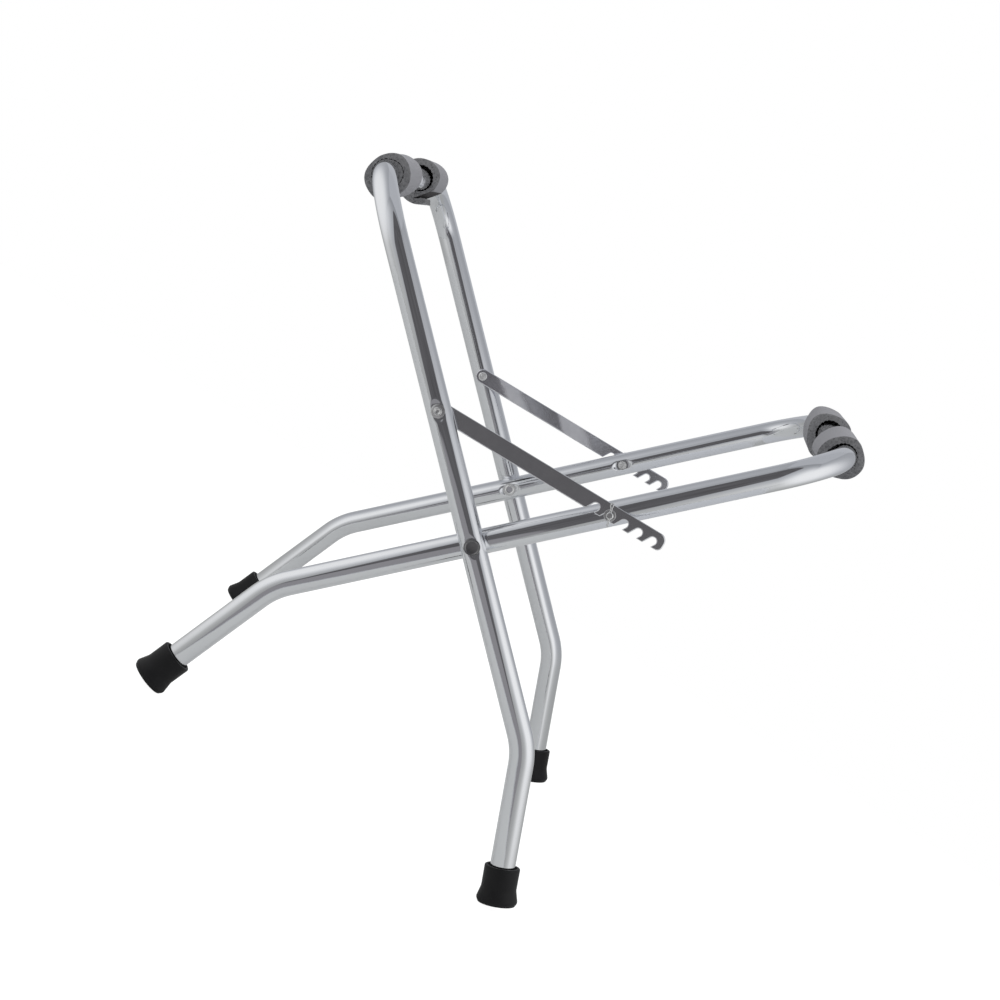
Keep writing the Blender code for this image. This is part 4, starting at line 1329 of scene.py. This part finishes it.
@dataclass
class Stay:
    """A flat notched stay."""

    layout: Layout
    side: Side
    width: float = 0.015
    first_notch: float = 0.1583
    pitch: float = 0.0143
    notches: int = 5
    notch_radius: float = 0.003545
    notch_depth: float = 0.0053
    notch_lean: float = 30.0
    tip: float = 0.0103
    top_radius: float = 0.0070
    low_radius: float = 0.0050
    edge_radius: float = 0.0010
    hole_radius: float = 0.0033
    tilt: float = 0.73

    @staticmethod
    def arc(x: float, y: float, radius: float, first: float, last: float, steps: int = 16) -> Points:
        """Points of a flat arc between two angles in degrees."""
        angle = np.radians(np.linspace(first, last, steps + 1))
        return np.stack([x + radius * np.cos(angle), y + radius * np.sin(angle)], axis=-1)

    def notch(self, seat_x: float) -> Points:
        """One slanted notch: two straight walls to the lower edge and a round seat.

        Args:
            seat_x: Place of the seat's centre along the stay.

        Returns:
            Its outline from the tip's side to the rivet's side.
        """
        low = -self.width / 2
        seat_y = low + self.notch_depth
        lean = math.radians(self.notch_lean)
        mouth = np.array([-math.sin(lean), -math.cos(lean)])
        seat = self.arc(seat_x, seat_y, self.notch_radius, -self.notch_lean, 180.0 - self.notch_lean)
        first = seat[0] + mouth * (low - seat[0, 1]) / mouth[1]
        last = seat[-1] + mouth * (low - seat[-1, 1]) / mouth[1]
        return np.vstack([first, seat, last])

    def outline(self) -> Points:
        """The whole outline, clockwise from under the rivet."""
        half = self.width / 2
        end = self.first_notch + (self.notches - 1) * self.pitch + self.tip
        runs = [self.arc(0.0, 0.0, half, 270.0, 90.0, 40)]
        runs.append(self.arc(end - self.top_radius, half - self.top_radius, self.top_radius, 90.0, 0.0))
        runs.append(self.arc(end - self.low_radius, -half + self.low_radius, self.low_radius, 0.0, -90.0))
        for index in reversed(range(self.notches)):
            runs.append(self.notch(self.first_notch + index * self.pitch))
        return np.vstack(runs)

    def build(self) -> None:
        """Flat plate from its outline and hole, with its edges rounded."""
        name = f"{self.side.name.lower()}_stay"
        low, high = self.layout.span(name)
        thickness = high[1] - low[1]
        curve = bpy.data.curves.new(f"{name}_outline", "CURVE")
        curve.dimensions = "2D"
        curve.fill_mode = "BOTH"
        curve.extrude = thickness / 2 - self.edge_radius
        curve.bevel_depth = self.edge_radius
        curve.bevel_resolution = 3
        curve.offset = -self.edge_radius
        for points in (self.outline(), self.arc(0.0, 0.0, self.hole_radius, 0.0, 360.0, 48)[:-1]):
            spline = curve.splines.new("POLY")
            spline.points.add(len(points) - 1)
            flat = np.hstack([points, np.zeros((len(points), 1)), np.ones((len(points), 1))])
            spline.points.foreach_set("co", flat.ravel().astype(np.float32))
            spline.use_cyclic_u = True
        outline = bpy.data.objects.new(f"{name}_outline", curve)
        bpy.context.scene.collection.objects.link(outline)
        evaluated = outline.evaluated_get(bpy.context.evaluated_depsgraph_get())
        mesh = bpy.data.meshes.new_from_object(evaluated)
        bpy.data.objects.remove(outline, do_unlink=True)
        place = Matrix.Translation(Vector((self.layout.rivet[0], (low[1] + high[1]) / 2, self.layout.rivet[2])))
        turn = Matrix.Rotation(math.radians(-self.tilt), 4, "Y") @ Matrix.Rotation(math.radians(90.0), 4, "X")
        mesh.transform(place @ turn)
        shape = bmesh.new()
        shape.from_mesh(mesh)
        bmesh.ops.remove_doubles(shape, verts=shape.verts, dist=1e-6)
        bmesh.ops.recalc_face_normals(shape, faces=shape.faces)
        shape.to_mesh(mesh)
        shape.free()
        mesh.set_sharp_from_angle(angle=math.radians(40.0))
        level = np.empty(len(mesh.polygons) * 3, np.float32)
        mesh.polygons.foreach_get("normal", level)
        mesh.polygons.foreach_set("use_smooth", np.abs(level[1::3]) < 0.999)
        mesh.materials.clear()
        mesh.materials.append((NEAR_PLATE if self.side is Side.NEAR else FAR_PLATE).material())
        made = bpy.data.objects.new(f"{name}_plate", mesh)
        bpy.context.scene.collection.objects.link(made)
        keep(made, name, "stay_steel", name)


# Studio


@dataclass(frozen=True)
class Glow:
    """A soft patch of light that a lamp outside the tent throws on its cloth."""

    centre: tuple
    spread: tuple
    level: float


@dataclass(frozen=True)
class Tent:
    """A box-shaped light tent that shows only in the metal.

    Its cloth is grey, brightened by a lamp at each side, and its front is open towards the camera,
    on a dark room with a lighter table below. Lengths are in metres and levels are glows.
    """

    left: float = -0.60
    right: float = 0.62
    front: float = -0.62
    back: float = 0.97
    top: float = 1.70
    cloth: float = 0.41
    back_cloth: float = 0.53
    roof_cloth: float = 0.50
    front_cloth: float = 0.33
    room: float = 0.118
    table: float = 0.29
    table_top: float = 0.262
    opening: float = 0.215
    opening_centre: float = -0.028
    opening_widens: float = 0.19
    opening_top: float = 1.13
    table_curve: float = 3.0
    soft: float = 0.016
    cloth_tint: tuple = (0.975, 1.0, 1.06)
    low_tint: tuple = (0.99, 1.002, 0.995)
    room_tint: tuple = (1.005, 0.985, 1.035)
    glow_tint: tuple = (0.997, 1.0, 1.003)
    glows: tuple = (
        Glow((-0.60, -0.265, 0.48), (0.30, 0.458, 0.45), 0.95),
        Glow((0.62, -0.485, 0.483), (0.31, 0.418, 0.445), 1.02),
    )

    def build(self) -> None:
        """Makes the walls and the roof."""
        corner = [
            (self.left, self.front),
            (self.right, self.front),
            (self.right, self.back),
            (self.left, self.back),
        ]
        walls = np.array([[(x, y, z) for x, y in corner] for z in (-0.01, self.top)])
        maker = MeshMaker()
        maker.grid(walls)
        maker.plate(walls[1])
        tent = maker.finish("light_tent", [TentCloth("tent_cloth", self)])
        tent.visible_camera = False
        tent.visible_diffuse = False
        tent.visible_transmission = False
        tent.visible_volume_scatter = False
        tent.visible_shadow = False


@dataclass(frozen=True)
class TentCloth(Finish):
    """The tent's glow, by place on its cloth."""

    tent: Tent

    def patch(self, shader: Shader, glow: Glow) -> Sock:
        """1 in the middle of a glow: 1 over 1 plus the fourth power of the distance in spreads."""
        offset = shader.vectors("SUBTRACT", shader.place(), glow.centre)
        reach = shader.node(
            "ShaderNodeVectorMath", {"operation": "LENGTH"}, {0: shader.vectors("DIVIDE", offset, glow.spread)}
        )
        return shader.maths("POWER", 1.0 + shader.maths("POWER", reach.out("Value"), 4.0), -1.0)

    def dress(self, shader: Shader) -> None:
        """Adds up the cloth, its glows and the opening, whose top is half an ellipse."""
        tent = self.tent
        parts = shader.node("ShaderNodeSeparateXYZ", {}, {0: shader.place()})
        x, y, z = parts.out(0), parts.out(1), parts.out(2)
        at_front = (tent.front + 0.01) - y > 0.0
        at_back = y - (tent.back - 0.01) > 0.0
        at_roof = z - (tent.top - 0.01) > 0.0
        level = tent.cloth + (tent.back_cloth - tent.cloth) * at_back
        level = level + (tent.roof_cloth - tent.cloth) * at_roof
        level = level + (tent.front_cloth - tent.cloth) * at_front
        lit = 0.0
        for glow in tent.glows:
            patch = self.patch(shader, glow)
            level = level + (glow.level - level) * patch
            lit = patch + lit
        width = tent.opening * (1.0 + tent.opening_widens * (z - 0.3))
        rise = ((z - (tent.opening_top - tent.opening)) * (1.0 / tent.opening)).held(0.0, 1.0)
        arch = shader.maths("SQRT", 1.0 - rise * rise)
        aside = shader.maths("ABSOLUTE", x - tent.opening_centre) - width * arch
        inside = at_front * (1.0 - shader.ramp(aside, -tent.soft, tent.soft))
        off = x - tent.opening_centre
        dusk = shader.ramp(z + tent.table_curve * off * off, tent.table_top - tent.soft, tent.table_top + tent.soft)
        dim = tent.room * (0.45 + 1.1 * shader.noise(15.0, 4.0, 0.6))
        view = tent.table + (dim - tent.table) * dusk
        level = level + (view - level) * inside
        colour = shader.mix(shader.ramp(z, 0.10, 0.50), tent.low_tint, tent.cloth_tint)
        for share, tint in ((lit.held(0.0, 1.0), tent.glow_tint), (inside, tent.room_tint)):
            inputs = {0: share, 6: colour, 7: (*tint, 1.0)}
            colour = shader.node("ShaderNodeMix", {"data_type": "RGBA"}, inputs).out(2)
        glow = shader.node("ShaderNodeEmission", {}, {"Color": colour, "Strength": level})
        shader.node("ShaderNodeOutputMaterial", {}, {0: glow.out()})


@dataclass(frozen=True)
class FloorPaint(Finish):
    """Pale paint that keeps a shadow and is otherwise white to the camera.

    In the metal it is the tent's grey floor, darker towards the front past a line that bends forward at the sides.
    """

    tint: tuple = (0.605, 0.62, 0.65)
    left_tint: tuple = (0.610, 0.620, 0.620)
    edge_tint: tuple = (0.46, 0.47, 0.49)
    edge: float = 0.556
    edge_curve: float = 0.49
    soft: float = 0.016
    shadow_share: float = 0.30
    light: float = 0.80

    def dress(self, shader: Shader) -> None:
        """Adds the camera's view, and the view that the metal and the light get."""
        parts = shader.node("ShaderNodeSeparateXYZ", {}, {0: shader.place()})
        x, y = parts.out(0), parts.out(1)
        past = 0.0 - y - self.edge - self.edge_curve * x * x
        body = shader.mix(shader.ramp(x, 0.25, 0.45), self.left_tint, self.tint)
        inputs = {0: shader.ramp(past, -self.soft, self.soft), 6: body, 7: (*self.edge_tint, 1.0)}
        tint = shader.node("ShaderNodeMix", {"data_type": "RGBA"}, inputs).out(2)
        matt = shader.node("ShaderNodeBsdfDiffuse", {}, {"Color": tint})
        level = (1.12 - self.shadow_share * self.light * self.tint[1]) / (1 - self.shadow_share)
        glow = shader.node("ShaderNodeEmission", {}, {"Strength": level})
        path = shader.node("ShaderNodeLightPath")
        seen = (path.out("Is Camera Ray") + path.out("Is Transmission Ray")).held(0.0, 1.0)
        inputs = {0: seen * (1 - self.shadow_share), 1: matt.out(), 2: glow.out()}
        both = shader.node("ShaderNodeMixShader", {}, inputs)
        shader.node("ShaderNodeOutputMaterial", {}, {0: both.out()})


@dataclass
class Studio:
    """Floor, world, light tent, lamps and camera."""

    layout: Layout
    floor_size: float = 3.2
    lens: float = 108.0
    sensor: float = 36.0

    def build(self) -> None:
        """Builds the whole studio."""
        self.build_world()
        self.build_floor()
        Tent().build()
        self.build_lamps()
        self.build_camera()
        bpy.context.scene.view_settings.view_transform = "Standard"

    def build_world(self) -> None:
        """White to the camera and to metal and glass, and a soft grey fill for the rest."""
        world = bpy.data.worlds.new("studio_world")
        world.use_nodes = True
        shader = Shader(world.node_tree)
        path = shader.node("ShaderNodeLightPath")
        seen = path.out("Is Camera Ray") + path.out("Is Glossy Ray") + path.out("Is Transmission Ray")
        seen = seen.held(0.0, 1.0)
        level = 0.55 + 0.45 * seen
        colour = (1.0, 1.0, 1.0, 1.0)
        background = shader.node("ShaderNodeBackground", {}, {"Color": colour, "Strength": level})
        shader.node("ShaderNodeOutputWorld", {}, {0: background.out()})
        bpy.context.scene.world = world

    def build_floor(self) -> None:
        """A plain pale floor."""
        edge = self.floor_size / 2
        line = np.array([-edge, edge])
        points = np.stack([*np.meshgrid(line, line), np.zeros((2, 2))], axis=-1)
        maker = MeshMaker()
        maker.grid(points, wrap_columns=False)
        floor = maker.finish("studio_floor", [FloorPaint("pale_floor")])

    def build_lamps(self) -> None:
        """Two soft lamps above the sides."""
        for label, place, power in (("left", (-1.3, -0.9, 1.9), 16.0), ("right", (1.3, -0.6, 1.9), 16.0)):
            lamp = bpy.data.lights.new(f"{label}_lamp", "AREA")
            lamp.shape = "RECTANGLE"
            lamp.size = 1.2
            lamp.size_y = 1.2
            lamp.energy = power
            holder = bpy.data.objects.new(f"{label}_lamp", lamp)
            holder.location = place
            holder.rotation_euler = (Vector((0.0, 0.0, 0.3)) - Vector(place)).to_track_quat("-Z", "Y").to_euler()
            holder.visible_glossy = False
            bpy.context.scene.collection.objects.link(holder)

    def build_camera(self) -> None:
        """The camera at the photograph's angle, worked out from its frame's fit."""
        turn = Matrix.Rotation(math.radians(4.0821), 4, "Z")
        turn = turn @ Matrix.Rotation(math.radians(-31.6943), 4, "Y")
        turn = turn @ Matrix.Rotation(math.radians(82.5504), 4, "X")
        data = bpy.data.cameras.new("photo_camera")
        data.lens = self.lens
        data.sensor_width = self.sensor
        camera = bpy.data.objects.new("photo_camera", data)
        place = Vector(self.layout.pivot) + Vector((0.00574775, -2.85665557, 0.33097455))
        camera.matrix_world = Matrix.Translation(place) @ turn
        bpy.context.scene.collection.objects.link(camera)
        bpy.context.scene.camera = camera


def corners(bounds: tuple[Vector, Vector]) -> list[list[float]]:
    """Bounds as plain lists."""
    return [list(bounds[0]), list(bounds[1])]


def main() -> None:
    """Builds the pieces and the studio."""
    logging.basicConfig(level=logging.INFO)
    for item in list(bpy.data.objects):
        bpy.data.objects.remove(item, do_unlink=True)
    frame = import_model()
    layout = Layout.read(frame)
    TubeFrame(layout, "outer_frame", Lean.OUTER, 1).build()
    TubeFrame(layout, "inner_frame", Lean.INNER, -1).build()
    for side in Side:
        Hardware(layout, side).build()
        Stay(layout, side).build()
    Studio(layout).build()


if __name__ == "__main__":
    main()
